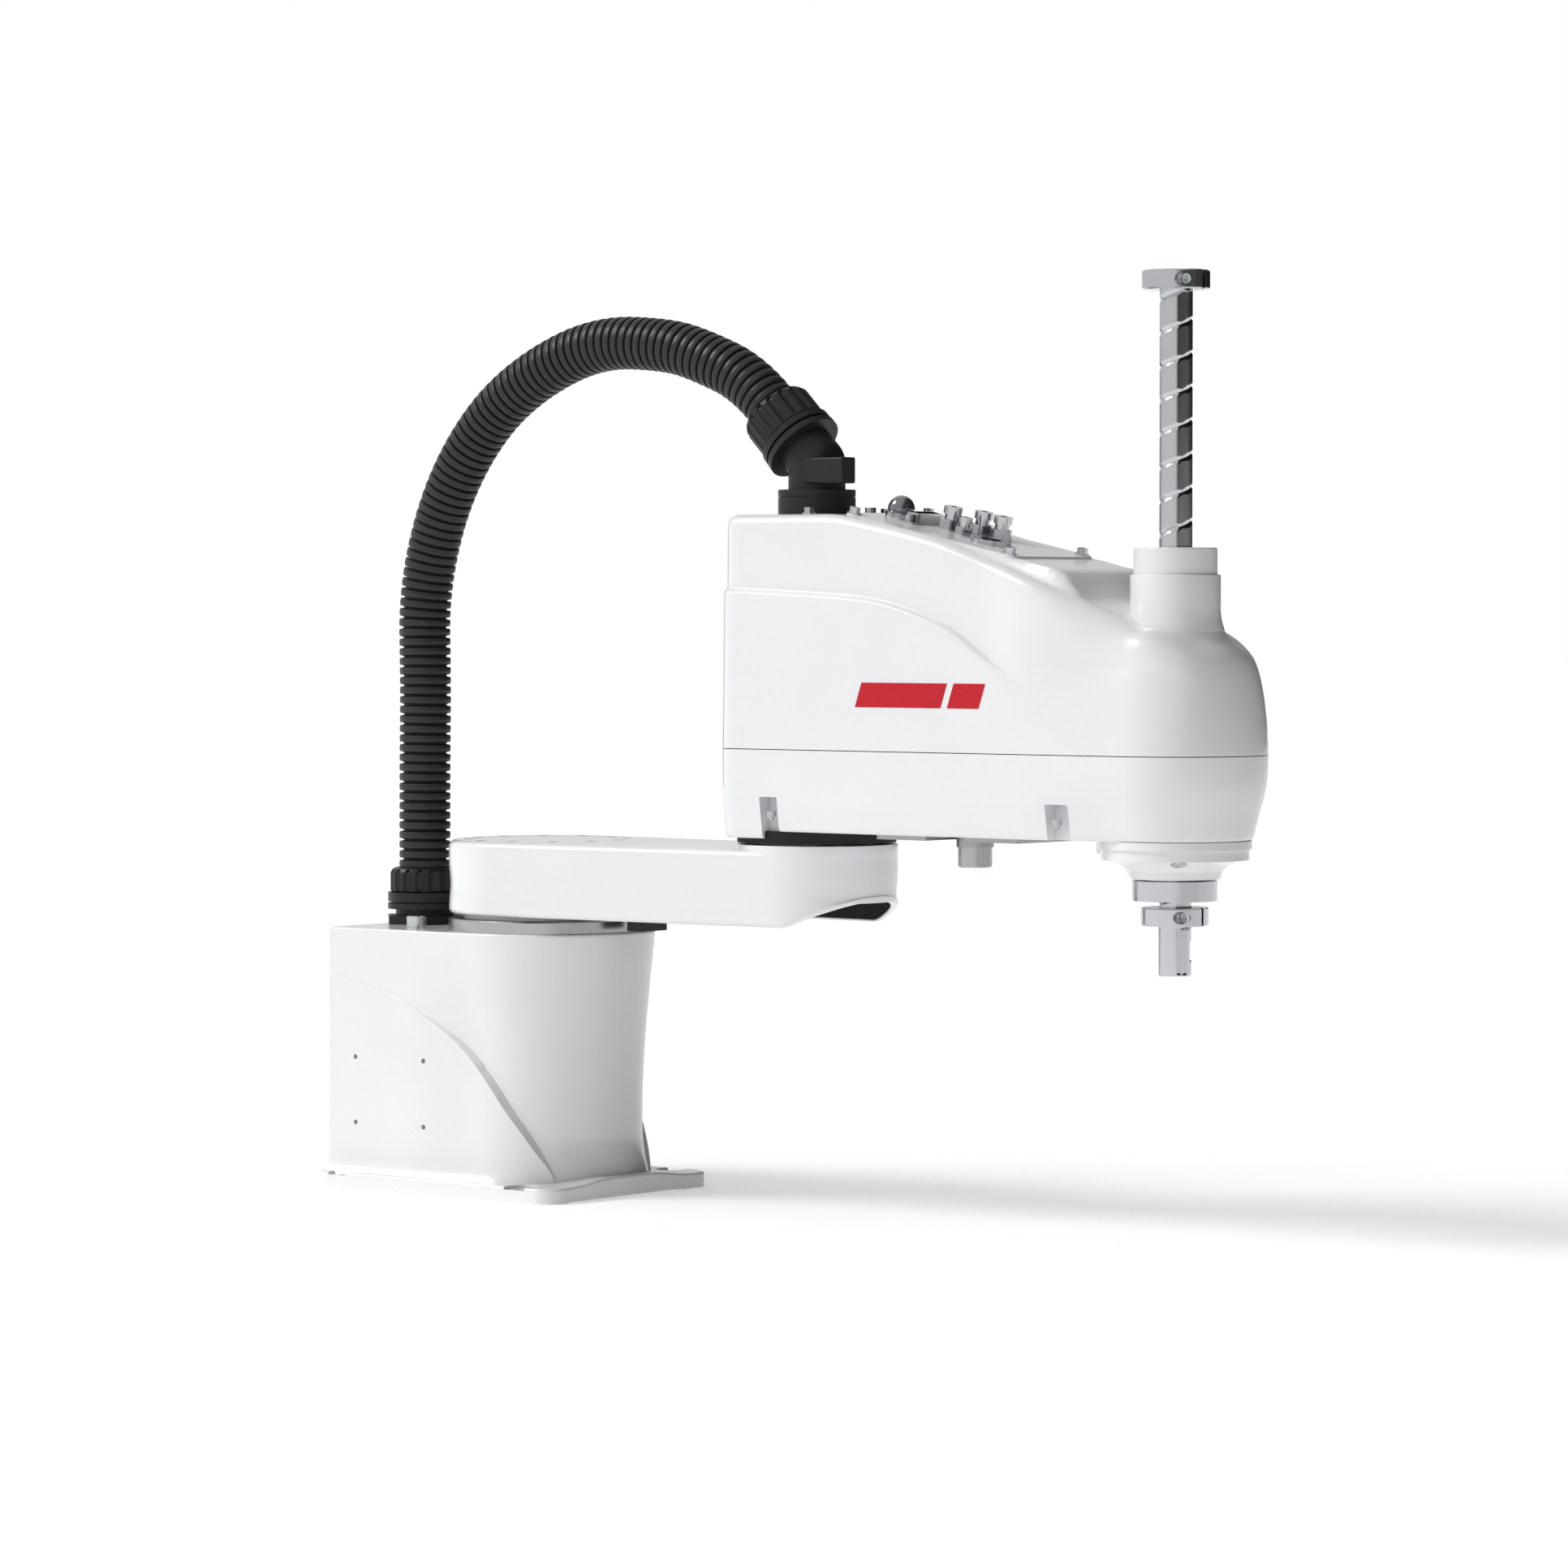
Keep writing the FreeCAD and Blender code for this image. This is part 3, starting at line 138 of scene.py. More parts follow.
SLOT_LOOK = {"white_paint": WHITE, "white_plastic": WHITE_PLASTIC, "black_plastic": BLACK,
             "bright_steel": STEEL, "bare_aluminium": ALUMINIUM, "dark_metal": DARK, "chrome": CHROME,
             "lamp_glass": LAMP, "belt_rubber": RUBBER}
# Painted shade: the elbow reducer's output disc and rings take the near-black shade colour for the shaded gap
# between link and arm.
NODE_LOOK = {"j1_bearing_ring": MACHINED, "j2_output_disc": SHADOW, "j2_reducer_rings": SHADOW,
             "arm_stop_pin": MACHINED, "connector_panel": WHITE_PLASTIC}
for row in frame["record"]["subparts"]:
    node = frame["nodes"][row["node"]]
    look = NODE_LOOK.get(row["node"], SLOT_LOOK[row["material_slot"]])
    node.data.materials.clear()
    node.data.materials.append(look)


# --- mesh helpers (all lengths in millimetres) --------------------------------------------------
def placed(name, data):
    """A new object for some data, linked to the scene."""
    obj = bpy.data.objects.new(name, data)
    bpy.context.scene.collection.objects.link(obj)
    return obj


def mesh_object(name, verts, faces, look, body, slot, sharp=SHARP):
    """A mesh piece that rides on a body, from millimetre vertices, with sharp edges kept crisp."""
    data = bpy.data.meshes.new(name)
    data.from_pydata([tuple(c * MM for c in v) for v in verts], [], faces)
    bm = bmesh.new()
    bm.from_mesh(data)
    bmesh.ops.remove_doubles(bm, verts=bm.verts, dist=WELD)
    bmesh.ops.recalc_face_normals(bm, faces=bm.faces)
    limit = math.radians(sharp)
    for f in bm.faces:
        f.smooth = True
    for e in bm.edges:
        if len(e.link_faces) == 2 and e.calc_face_angle(0) > limit:
            e.smooth = False
    bm.to_mesh(data)
    bm.free()
    data.materials.append(look)
    obj = placed(name, data)
    if body:
        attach(obj, body)
    return obj


def soften(obj, width, segments=1):
    """Bevel a piece's edges by a width in millimetres."""
    bevel = obj.modifiers.new("soft_edges", "BEVEL")
    bevel.width = width * MM
    bevel.segments = segments


def grid_faces(rows, columns, close_rows=False, close_columns=False):
    """Faces between neighbouring points of a grid that is stored row by row."""
    faces = []
    for i in range(rows if close_rows else rows - 1):
        j = (i + 1) % rows
        for k in range(columns if close_columns else columns - 1):
            m = (k + 1) % columns
            faces.append((i * columns + k, j * columns + k, j * columns + m, i * columns + m))
    return faces


def lofted(loops):
    """A closed skin through loops of points, with a lid at each end."""
    count = len(loops[0])
    verts = [point for loop in loops for point in loop]
    faces = grid_faces(len(loops), count, close_columns=True)
    last = (len(loops) - 1) * count
    faces += [tuple(range(count)), tuple(range(last, last + count))[::-1]]
    return verts, faces


def ring_skin(rings):
    """A closed skin through near-side rings of (x, half width, z) and their mirror."""
    return lofted([[(x, -h, z) for x, h, z in ring] + [(x, h, z) for x, h, z in ring[::-1]]
                   for ring in rings])


def mirrored(columns):
    """Near-side columns of (x, half width, z), followed by their mirror in backward order."""
    near = [[(x, -h, z) for x, h, z in column] for column in columns]
    return near + [[(x, h, z) for x, h, z in column] for column in columns[::-1]]


def both_sides(columns):
    """A closed skin from near-side columns and their mirror, with a lid over the first row."""
    around = mirrored(columns)
    n = len(columns[0])
    faces = grid_faces(len(around), n, close_rows=True)
    faces.append(tuple(i * n for i in range(len(around))))
    return [point for column in around for point in column], faces


def joined(shapes):
    """The vertices and faces of several closed shapes as one list of each."""
    verts, faces = [], []
    for shape_verts, shape_faces in shapes:
        faces += [tuple(i + len(verts) for i in face) for face in shape_faces]
        verts += shape_verts
    return verts, faces


def circle(radius, steps):
    """Points round a circle about the origin."""
    turns = (2 * math.pi * k / steps for k in range(steps))
    return [(radius * math.cos(a), radius * math.sin(a)) for a in turns]


def quarter(steps):
    """Angles from just above zero up to a right angle."""
    return [math.pi / 2 * k / steps for k in range(1, steps + 1)]


def spun(profile, x, steps=128):
    """A closed profile of (radius, z) turned about the vertical axis at x."""
    verts = [(x + r * c, r * s, z) for c, s in circle(1.0, steps) for r, z in profile]
    return verts, grid_faces(steps, len(profile), True, True)


def box(x, y, z):
    """A closed box between pairs of limits."""
    verts = [(a, b, c) for a in x for b in y for c in z]
    faces = [(0, 1, 3, 2), (4, 6, 7, 5), (0, 4, 5, 1), (2, 3, 7, 6), (0, 2, 6, 4), (1, 5, 7, 3)]
    return verts, faces


def rod(start, end, radius, steps=40):
    """A closed round rod between two points."""
    a, b = Vector(start), Vector(end)
    turn = (b - a).to_track_quat("Z", "Y")
    return lofted([[tuple(at + turn @ Vector((u, v, 0))) for u, v in circle(radius, steps)] for at in (a, b)])


def rounded(profile, radius, steps=3):
    """The same closed profile with every corner rounded."""
    out = []
    n = len(profile)
    for i in range(n):
        p0, p, p1 = (np.array(profile[k % n], float) for k in (i - 1, i, i + 1))
        a, b = p0 - p, p1 - p
        la, lb = np.linalg.norm(a), np.linalg.norm(b)
        reach = min(radius, la * 0.4, lb * 0.4)
        q0, q1 = p + a / la * reach, p + b / lb * reach
        for s in range(steps + 1):
            t = s / steps
            out.append(tuple((1 - t) ** 2 * q0 + 2 * t * (1 - t) * p + t ** 2 * q1))
    return out


def smoothstep(a, b, x):
    """Ease from 0 at a to 1 at b."""
    t = min(1.0, max(0.0, (x - a) / (b - a)))
    return t * t * (3 - 2 * t)


def along(table, x):
    """Smooth reading of a table of (x, value) pairs, without overshoot."""
    xs, vs = zip(*table)
    if x <= xs[0]:
        return vs[0]
    if x >= xs[-1]:
        return vs[-1]
    i = max(k for k in range(len(xs)) if xs[k] <= x)
    h = xs[i + 1] - xs[i]
    slope = [(vs[k + 1] - vs[k]) / (xs[k + 1] - xs[k]) for k in range(len(xs) - 1)]
    inner = [2 * a * b / (a + b) if a * b > 0 else 0.0 for a, b in zip(slope, slope[1:])]
    tangent = [slope[0], *inner, slope[-1]]
    t = (x - xs[i]) / h
    m0, m1 = tangent[i] * h, tangent[i + 1] * h
    return ((2 * t ** 3 - 3 * t ** 2 + 1) * vs[i] + (t ** 3 - 2 * t ** 2 + t) * m0
            + (-2 * t ** 3 + 3 * t ** 2) * vs[i + 1] + (t ** 3 - t ** 2) * m1)


def carve(obj, cutters, sharp=SHARP):
    """Cut closed shapes out of a piece and mark its sharp edges again."""
    verts, faces = joined(cutters)
    data = bpy.data.meshes.new("cutter")
    data.from_pydata([tuple(c * MM for c in v) for v in verts], [], faces)
    bm = bmesh.new()
    bm.from_mesh(data)
    bmesh.ops.recalc_face_normals(bm, faces=bm.faces)
    bm.to_mesh(data)
    bm.free()
    tool = placed("cutter", data)
    cut = obj.modifiers.new("cut", "BOOLEAN")
    cut.operation = "DIFFERENCE"
    cut.solver = "EXACT"
    cut.use_self = True
    cut.object = tool
    bpy.context.view_layer.update()
    result = bpy.data.meshes.new_from_object(obj.evaluated_get(bpy.context.evaluated_depsgraph_get()))
    obj.modifiers.remove(cut)
    obj.data = result
    bpy.data.objects.remove(tool)
    result.shade_smooth()
    result.set_sharp_from_angle(angle=math.radians(sharp))
    even_normals = obj.modifiers.new("normals", "WEIGHTED_NORMAL")
    even_normals.keep_sharp = True


def slice_across(obj, x, keep_above):
    """Keep the part of a piece on one side of a plane across X, closed again."""
    bm = bmesh.new()
    bm.from_mesh(obj.data)
    bmesh.ops.bisect_plane(bm, geom=bm.verts[:] + bm.edges[:] + bm.faces[:], plane_co=(x * MM, 0, 0),
                           plane_no=(1, 0, 0), clear_inner=keep_above, clear_outer=not keep_above)
    rim = [e for e in bm.edges if len(e.link_faces) == 1]
    bmesh.ops.holes_fill(bm, edges=rim, sides=0)
    bmesh.ops.recalc_face_normals(bm, faces=bm.faces)
    bm.to_mesh(obj.data)
    bm.free()
    obj.data.set_sharp_from_angle(angle=math.radians(SHARP))


# --- camera -------------------------------------------------------------------------------------
CAMERA_AT = (2.48491, -2.79359, 0.3816)
CAMERA_DIP = 1.793             # degrees below the horizon
CAMERA_TURN = 39.3             # degrees about the vertical
camera = placed("camera", bpy.data.cameras.new("camera"))
camera.location = CAMERA_AT
camera.rotation_euler = (math.radians(90 - CAMERA_DIP), 0, math.radians(CAMERA_TURN))
camera.data.lens = 131.55
camera.data.sensor_width = 36.0
camera.data.clip_end = 50.0
bpy.context.scene.camera = camera

# --- conduits -----------------------------------------------------------------------------------
CONDUIT_R = 17.0
CONDUIT_STEPS = 72             # points round the tube
ROUTE = [(-0.110, 0, 0.2076), (-0.110, 0, 0.269), (-0.109, 0, 0.330), (-0.1105, 0, 0.391), (-0.091, 0, 0.453),
         (-0.055, 0, 0.502), (-0.011, 0, 0.532), (0.045, 0, 0.5513), (0.103, 0, 0.5477), (0.131, 0, 0.540),
         (0.171, 0, 0.524), (0.1906, 0, 0.5044)]
DIVIDED_RUN = 5                # the run of the route in whose middle the two halves meet
RIB_PITCH = 6.4
RIB_DEPTH = 2.7
RIB_CROWN = 0.25               # how far a rib's edges fall below its middle
GROOVE = (0.66, 0.76, 0.90, 1.0)  # where in each pitch the groove starts, is deep, rises and ends


def route_line(points):
    """Points read from the route's NURBS spline, in millimetres."""
    curve = bpy.data.curves.new("conduit_route", "CURVE")
    curve.dimensions = "3D"
    spline = curve.splines.new("NURBS")
    spline.points.add(len(points) - 1)
    for p, c in zip(spline.points, points):
        p.co = (*c, 1)
    spline.order_u = 3
    spline.use_endpoint_u = True
    spline.resolution_u = 24
    carrier = placed("conduit_route", curve)
    mesh = bpy.data.meshes.new_from_object(carrier.evaluated_get(bpy.context.evaluated_depsgraph_get()))
    line = np.array([v.co for v in mesh.vertices], float) / MM
    bpy.data.objects.remove(carrier)
    bpy.data.curves.remove(curve)
    bpy.data.meshes.remove(mesh)
    return line


def even(line, step):
    """The same line, read at even steps, with the distance along it."""
    runs = np.linalg.norm(np.diff(line, axis=0), axis=1)
    s = np.concatenate([[0], np.cumsum(runs)])
    count = max(2, int(round(s[-1] / step)) + 1)
    at = np.linspace(0, s[-1], count)
    return np.stack([np.interp(at, s, line[:, k]) for k in range(3)], axis=1), at


def rib_radius(s):
    """The conduit's radius at a distance along it."""
    phase = (s / RIB_PITCH) % 1.0
    groove = smoothstep(*GROOVE[:2], phase) * (1 - smoothstep(*GROOVE[2:], phase))
    middle = GROOVE[0] / 2
    crown = RIB_CROWN * min(1.0, abs(phase - middle) / middle)
    return CONDUIT_R - RIB_DEPTH * groove - crown


def ribbed_tube(name, line, s):
    """A corrugated conduit along a line that lies in the plane y = 0."""
    tangent = np.gradient(line, axis=0)
    tangent /= np.linalg.norm(tangent, axis=1)[:, None]
    side = np.array([0.0, 1.0, 0.0])
    loops = []
    for p, t, d in zip(line, tangent, s):
        across = np.cross(t, side)
        loops.append([tuple(p + u * across + v * side) for u, v in circle(rib_radius(d), CONDUIT_STEPS)])
    return mesh_object(name, *lofted(loops), CONDUIT, None, "black_plastic", sharp=50.0)


conduit_line, conduit_s = even(route_line(ROUTE), RIB_PITCH / 15)
meeting = [(a + b) / 2 / MM for a, b in zip(ROUTE[DIVIDED_RUN], ROUTE[DIVIDED_RUN + 1])]
divide = int(np.argmin(np.linalg.norm(conduit_line - np.array(meeting), axis=1)))
lower = ribbed_tube("conduit_lower_ribbed", conduit_line[:divide + 1], conduit_s[:divide + 1])
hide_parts("conduit_lower")
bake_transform(lower)
upper = ribbed_tube("conduit_upper_ribbed", conduit_line[divide:], conduit_s[divide:])
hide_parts("conduit_upper")
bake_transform(upper)
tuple(ROUTE[0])
[tuple(p * MM) for p in conduit_line[:divide + 1]]
[tuple(p * MM) for p in conduit_line[divide:]]

# --- outer arm ----------------------------------------------------------------------------------
ARM_BOTTOM = 241.0
ARM_SEAM = 292.0
ARM_REAR = 186.0
ARM_HALF = 56.0
ARM_CORNER = 15.0
ARM_FRONT_MIDDLE = 340.0       # the seam's painted shadow strip is drawn in towards here
SKIRT_END = 228.0              # the rear skirt round the elbow joint ends here
SKIRT_BOTTOM = 236.4
SEAM_GAP = 0.22                # half the joint between the covers and the casting
# the painted shadow strip in the seam: half its height, and how far it sits inside the wall
SEAM_SHADOW_HALF = 1.5
SEAM_SHADOW_DEPTH = 1.6
REAR_SEAM_X = 194.0
REAR_SEAM_LOW = 268.0
REAR_SEAM_GAP = 0.35
REAR_LEAN = 0.010              # the rear wall leans in from the seam both ways
REAR_STATIONS_END = 210.0      # the rear cover is made from the stations behind here
NOSE_BLEND_X = 430.0           # the flat side starts to turn into the round nose here
NOSE_TUBE_R = 27.0
TOP_LINE = [(192, 437.6), (268, 437.6), (313, 431), (355, 422), (398, 408), (440, 393), (481, 376),
            (500, 367)]
NOSE_WALL = [(241, 46.5), (247, 47.9), (259, 50.9), (269, 53.6), (277, 55.0), (292, 55.6), (306, 55.1),
             (321, 53.7), (335, 51.4), (347, 47.7), (354, 41.8), (361, 32.9), (367, 28.7), (374, 27.3),
             (380, 26.0)]
NOSE_WALL_TOP = 345.0          # above here the nose's radius is left to its shoulder
FRONT_WALL_TOP = 335.0
FRONT_DOME = (336.5, 361.0)
FRONT_NECK = (362.5, 372.0)
SHOULDER_Z = 348.0
SHOULDER_REACH = 14.0
NOSE_LIP_R = 26.0
NOSE_LIP_RISE = 1.2
NOSE_EASE = 65.0               # degrees over which the shoulder turns into the dome in front
LEDGE_LINE = [(186, 391), (300, 385), (365, 369), (400, 348), (430, 331)]
LEDGE_DEPTH = 3.2
LEDGE_EDGE = (1.2, 2.2)        # the ledge's slope below and above its line
LEDGE_FADE = (392, 430)
LOW_CREASE = [(186, 262), (330, 257), (440, 262), (500, 270)]
CREASE_LEAN = 0.13             # how fast the wall draws in below the crease
SEAM_LEAN = 0.012              # and below the seam
COVER_LEAN = 1.6 / 146.0       # and above the seam
PANEL_MIDDLE = (345.0, 424.5)  # x and z of the connector panel's middle
PANEL_FALL = math.tan(math.radians(12))
PANEL_THICKNESS = 1.1
BLISTER_START = (285, 330)     # the ground under the panel rises over this stretch
BLISTER_END = (444.0, 463.0)   # and falls again over this one
BLISTER_HALF = (41.0, 46.5)
EDGE_R = 7.0
NOSE_EDGE_EXTRA = 7.0
LIP_R = 2.0                    # round edge of the casting's underside
MIDDLE_X = 240.0               # the rear columns meet on the arm's middle line here
WALL_ROWS, LEDGE_ROWS, SHOULDER_ROWS, EDGE_ROWS = 14, 5, 8, 12
LOWER_ROWS = 22
INWARD_STEPS = (0.015, 0.03, 0.045, 0.06, 0.09, 0.13, 0.2, 0.35, 0.5, 0.67, 0.83, 1.0)
POCKETS = [(224.0, 238.0), (444.0, 460.0)]
POCKET_TOP = 262.5
POCKET_LEVEL = 252.0           # the pockets' depth is measured from the wall at this height


def top_height(x):
    """The covers' top line at a point along the arm."""
    return along(TOP_LINE, x)


def blister(x, half):
    """How far the ground under the connector panel stands above the arm's top line."""
    level = PANEL_MIDDLE[1] - PANEL_THICKNESS - (x - PANEL_MIDDLE[0]) * PANEL_FALL
    rise = max(0.0, level - top_height(x)) * smoothstep(*BLISTER_START, x)
    return rise * (1 - smoothstep(*BLISTER_END, x)) * (1 - smoothstep(*BLISTER_HALF, half))


def wall_heights(low, start, x):
    """Rows up the wall, gathered along the sweep's ledge."""
    ledge = min(along(LEDGE_LINE, x), start - 8)
    rows = list(np.linspace(low, ledge - 1.2, WALL_ROWS))
    rows += list(np.linspace(ledge - 0.5, ledge + 2.0, LEDGE_ROWS))
    return rows + list(np.linspace(ledge + 3.0, start, SHOULDER_ROWS))


def nose_radius(z):
    """The round nose's radius below its shoulder."""
    return along(NOSE_WALL, min(z, NOSE_WALL_TOP))


def side_half(x, z):
    """Half the arm's width behind the nose."""
    flank = ARM_HALF - COVER_LEAN * max(0.0, z - ARM_SEAM)
    flank -= CREASE_LEAN * max(0.0, along(LOW_CREASE, x) - z) + SEAM_LEAN * max(0.0, ARM_SEAM - z)
    ledge = along(LEDGE_LINE, x)
    fade = 1 - smoothstep(*LEDGE_FADE, x)
    flank -= LEDGE_DEPTH * fade * smoothstep(ledge - LEDGE_EDGE[0], ledge + LEDGE_EDGE[1], z)
    return flank + (nose_radius(z) - flank) * smoothstep(NOSE_BLEND_X, J3_X, x)


def arm_stations():
    """(kind, x or angle) round the near half of the outline, from the rear middle to the nose's front."""
    rear = [("rear", y) for y in (0, 8, 16, 24, 32, 38)]
    corner = [("corner", a) for a in range(0, 90, 10)]
    flank_x = [201, 206, 212, 218, 222, 226, 231, 236, 241, 248, *range(256, 467, 6), 470, 476, 482, 488, 494]
    flank = [("side", x) for x in flank_x]
    nose = [("nose", a) for a in range(90, -1, -5)]
    return rear + corner + flank + nose


def arm_point(kind, at, z):
    """The near-side outline point of a station at a height: (x, half width)."""
    lean = REAR_LEAN * abs(z - ARM_SEAM)
    if kind == "rear":
        return ARM_REAR + lean, at
    if kind == "side":
        return at, side_half(at, z)
    a = math.radians(at)
    if kind == "corner":
        half = side_half(ARM_REAR + ARM_CORNER, z)
        x = ARM_REAR + lean + (ARM_CORNER - lean) * (1 - math.cos(a))
        return x, half - ARM_CORNER * (1 - math.sin(a))
    return J3_X + nose_radius(z) * math.cos(a), nose_radius(z) * math.sin(a)


def nose_column(at):
    """Points up the nose and in to its tube, easing from the flank's shoulder to the dome in front."""
    top = top_height(J3_X)
    low = ARM_SEAM + SEAM_GAP
    side = [(z, nose_radius(z)) for z in wall_heights(low, SHOULDER_Z, J3_X)]
    turn = side[-1][1]
    inner = turn - SHOULDER_REACH
    side += [(SHOULDER_Z + (top - SHOULDER_Z) * math.sin(a), turn - SHOULDER_REACH * (1 - math.cos(a)))
             for a in quarter(EDGE_ROWS)]
    side += [(top + NOSE_LIP_RISE * k / EDGE_ROWS, inner + (NOSE_LIP_R - inner) * k / EDGE_ROWS)
             for k in range(1, EDGE_ROWS + 1)]
    front_z = [*np.linspace(low, FRONT_WALL_TOP, len(side) - 2 * EDGE_ROWS),
               *np.linspace(*FRONT_DOME, EDGE_ROWS), *np.linspace(*FRONT_NECK, EDGE_ROWS)]
    ease = smoothstep(0, NOSE_EASE, 90 - at)
    a = math.radians(at)
    points = []
    for (z0, r0), z1 in zip(side, front_z):
        z = z0 + (z1 - z0) * ease
        r = r0 + (along(NOSE_WALL, z1) - r0) * ease
        points.append((J3_X + r * math.cos(a), r * math.sin(a), z))
    return points


def inward_direction(kind, at):
    """The direction in the plan view that leads from a station in over the top."""
    if kind == "rear":
        return 1.0, 0.0
    if kind == "corner":
        return math.cos(math.radians(at)), -math.sin(math.radians(at))
    return 0.0, -1.0


def upper_column(kind, at):
    """Points from the seam up the wall, over the edge and in to the middle, as (x, half width, z)."""
    if kind == "nose":
        return nose_column(at)
    x0 = arm_point(kind, at, ARM_SEAM)[0]
    top = top_height(x0)
    toward_nose = smoothstep(NOSE_BLEND_X, J3_X, x0)
    reach = EDGE_R + NOSE_EDGE_EXTRA * toward_nose
    drop = EDGE_R + (top - SHOULDER_Z - EDGE_R) * toward_nose
    start = top - drop
    points = [(*arm_point(kind, at, z), z) for z in wall_heights(ARM_SEAM + SEAM_GAP, start, x0)]
    xe, he = arm_point(kind, at, start)
    dx, dh = inward_direction(kind, at)
    on_panel_ground = kind == "side"
    for a in quarter(EDGE_ROWS):
        step = reach * (1 - math.cos(a))
        half = he + dh * step
        lift = blister(x0, half) * math.sin(a) if on_panel_ground else 0.0
        points.append((xe + dx * step, half, start + drop * math.sin(a) + lift))
    xb, hb, _ = points[-1]
    xm, hm = max(x0, MIDDLE_X), 0.0
    if x0 > J3_X - NOSE_TUBE_R + 1:
        xm, hm = x0, math.sqrt(max(0.0, (NOSE_TUBE_R - 1) ** 2 - (J3_X - x0) ** 2))
    for t in INWARD_STEPS:
        x, half = xb + (xm - xb) * t, hb + (hm - hb) * t
        points.append((x, half, top + blister(x0, half) if on_panel_ground else top_height(x)))
    return points


def lower_column(kind, at):
    """Points from the seam down the lower wall and in under the arm to the middle."""
    x0 = arm_point(kind, at, ARM_SEAM)[0]
    bottom = SKIRT_BOTTOM if x0 < SKIRT_END else ARM_BOTTOM
    heights = np.linspace(ARM_SEAM - SEAM_GAP, bottom + LIP_R, LOWER_ROWS)
    points = [(*arm_point(kind, at, z), z) for z in heights]
    x, half = arm_point(kind, at, bottom)
    xm = min(max(x0, MIDDLE_X), J3_X)
    span = math.hypot(xm - x, half)
    for a in quarter(4):
        t = LIP_R * (1 - math.cos(a)) / span
        points.append((x + (xm - x) * t, half * (1 - t), bottom + LIP_R * (1 - math.sin(a))))
    xb, hb, _ = points[-1]
    return points + [(xb + (xm - xb) * k / 8, hb * (1 - k / 8), bottom) for k in range(1, 9)]


def rear_column(kind, at):
    """A station's upper column, carried down to the foot of the rear cover."""
    foot = [(*arm_point(kind, at, z), z) for z in np.linspace(REAR_SEAM_LOW + 0.4, ARM_SEAM - 1, 8)]
    return foot + upper_column(kind, at)


def seam_shadow_column(kind, at):
    """A short upright strip of painted shadow just inside the wall at the seam."""
    x, half = arm_point(kind, at, ARM_SEAM)
    if kind == "side":
        inward = SEAM_SHADOW_DEPTH / max(half, 1)
    else:
        inward = SEAM_SHADOW_DEPTH / math.hypot(x - ARM_FRONT_MIDDLE, half)
        x += (ARM_FRONT_MIDDLE - x) * inward
    return [(x, half * (1 - inward), z) for z in (ARM_SEAM - SEAM_SHADOW_HALF, ARM_SEAM + SEAM_SHADOW_HALF)]


def arm_lower_cuts():
    """The step for the rear cover and the four screw pockets."""
    yield box((180, REAR_SEAM_X + 0.3), (-70, 70), (REAR_SEAM_LOW - 0.4, 300))
    for x0, x1 in POCKETS:
        for side in (-1, 1):
            wall = side * side_half((x0 + x1) / 2, POCKET_LEVEL)
            yield box((x0, x1), sorted((wall - side * 9, wall + side * 12)), (ARM_BOTTOM - 8, POCKET_TOP))


stations = arm_stations()
arm_lower = mesh_object("arm_lower_shell", *both_sides([lower_column(*s) for s in stations]), WHITE,
                        "second_link", "white_paint")
carve(arm_lower, arm_lower_cuts())
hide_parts("arm_casting")

arm_upper = mesh_object("arm_upper_shell", *both_sides([upper_column(*s) for s in stations]), WHITE,
                        "second_link", "white_plastic")
slice_across(arm_upper, REAR_SEAM_X + REAR_SEAM_GAP, True)
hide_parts("arm_upper_cover")

rear_stations = [s for s in stations if arm_point(*s, ARM_SEAM)[0] < REAR_STATIONS_END]
arm_rear = mesh_object("arm_rear_shell", *both_sides([rear_column(*s) for s in rear_stations]), WHITE_PLASTIC,
                       "second_link", "white_plastic")
slice_across(arm_rear, REAR_SEAM_X - REAR_SEAM_GAP, False)
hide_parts("arm_rear_cover")

# painted shadow: a near-black strip just inside the wall that shows as the shaded joint between the covers and the
# casting
mesh_object("arm_seam_painted_shadow", *both_sides([seam_shadow_column(*s) for s in stations]), SHADOW, "second_link",
            "black_plastic")

# the round tube over the spindle
TUBE_PROFILE = [(12, 366), (29.5, 366), (27.6, 372.5), (NOSE_TUBE_R, 378), (NOSE_TUBE_R, 399.5), (12, 399.5)]
mesh_object("nose_tube", *spun(rounded(TUBE_PROFILE, 0.8), J3_X), WHITE, "second_link", "white_plastic")

# --- base ---------------------------------------------------------------------------------------
BASE_TOP = 170.0
BASE_EDGE_R = 1.5
BASE_REAR = -131.0
BASE_HALF = 69.7
BASE_BLEND = 62.0              # the round front turns into the flat sides over this length behind the axis
PANEL_Y = 70.0
PANEL_R = 66.4                 # round front of the skin that the sweep is cut from
COLUMN_R = [(8, 66.0), (14.7, 64.6), (25, 62.4), (39, 61.0), (60, 61.2), (92, 62.5), (127, 65.4), (167, 69.3),
            (BASE_TOP, 69.5)]
LEDGE_LEAN = 4.0               # how far the ledge under the waist leans forwards, so that it faces outwards
SWEEP = [(9, 47.0), (13, 46.3), (18, 44.5), (29, 37.5), (43, 28.5), (57, 18.0), (73, 6.0), (95, -16),
         (107.5, -34), (122, -62), (131, -91), (136.6, -114), (139, -129)]
SWEEP_TOP = 138.5
NO_SWEEP_X = -128.0            # above the sweep the column's own outline starts here
FLARE = (4.5, 24, 14)          # width, top and height of the skin's flare at the foot plate
FLARE_FADE = (52, 20)          # the flare grows rearwards over this stretch
COLUMN_STEPS = 40
BASE_SHARP = 30                # degrees
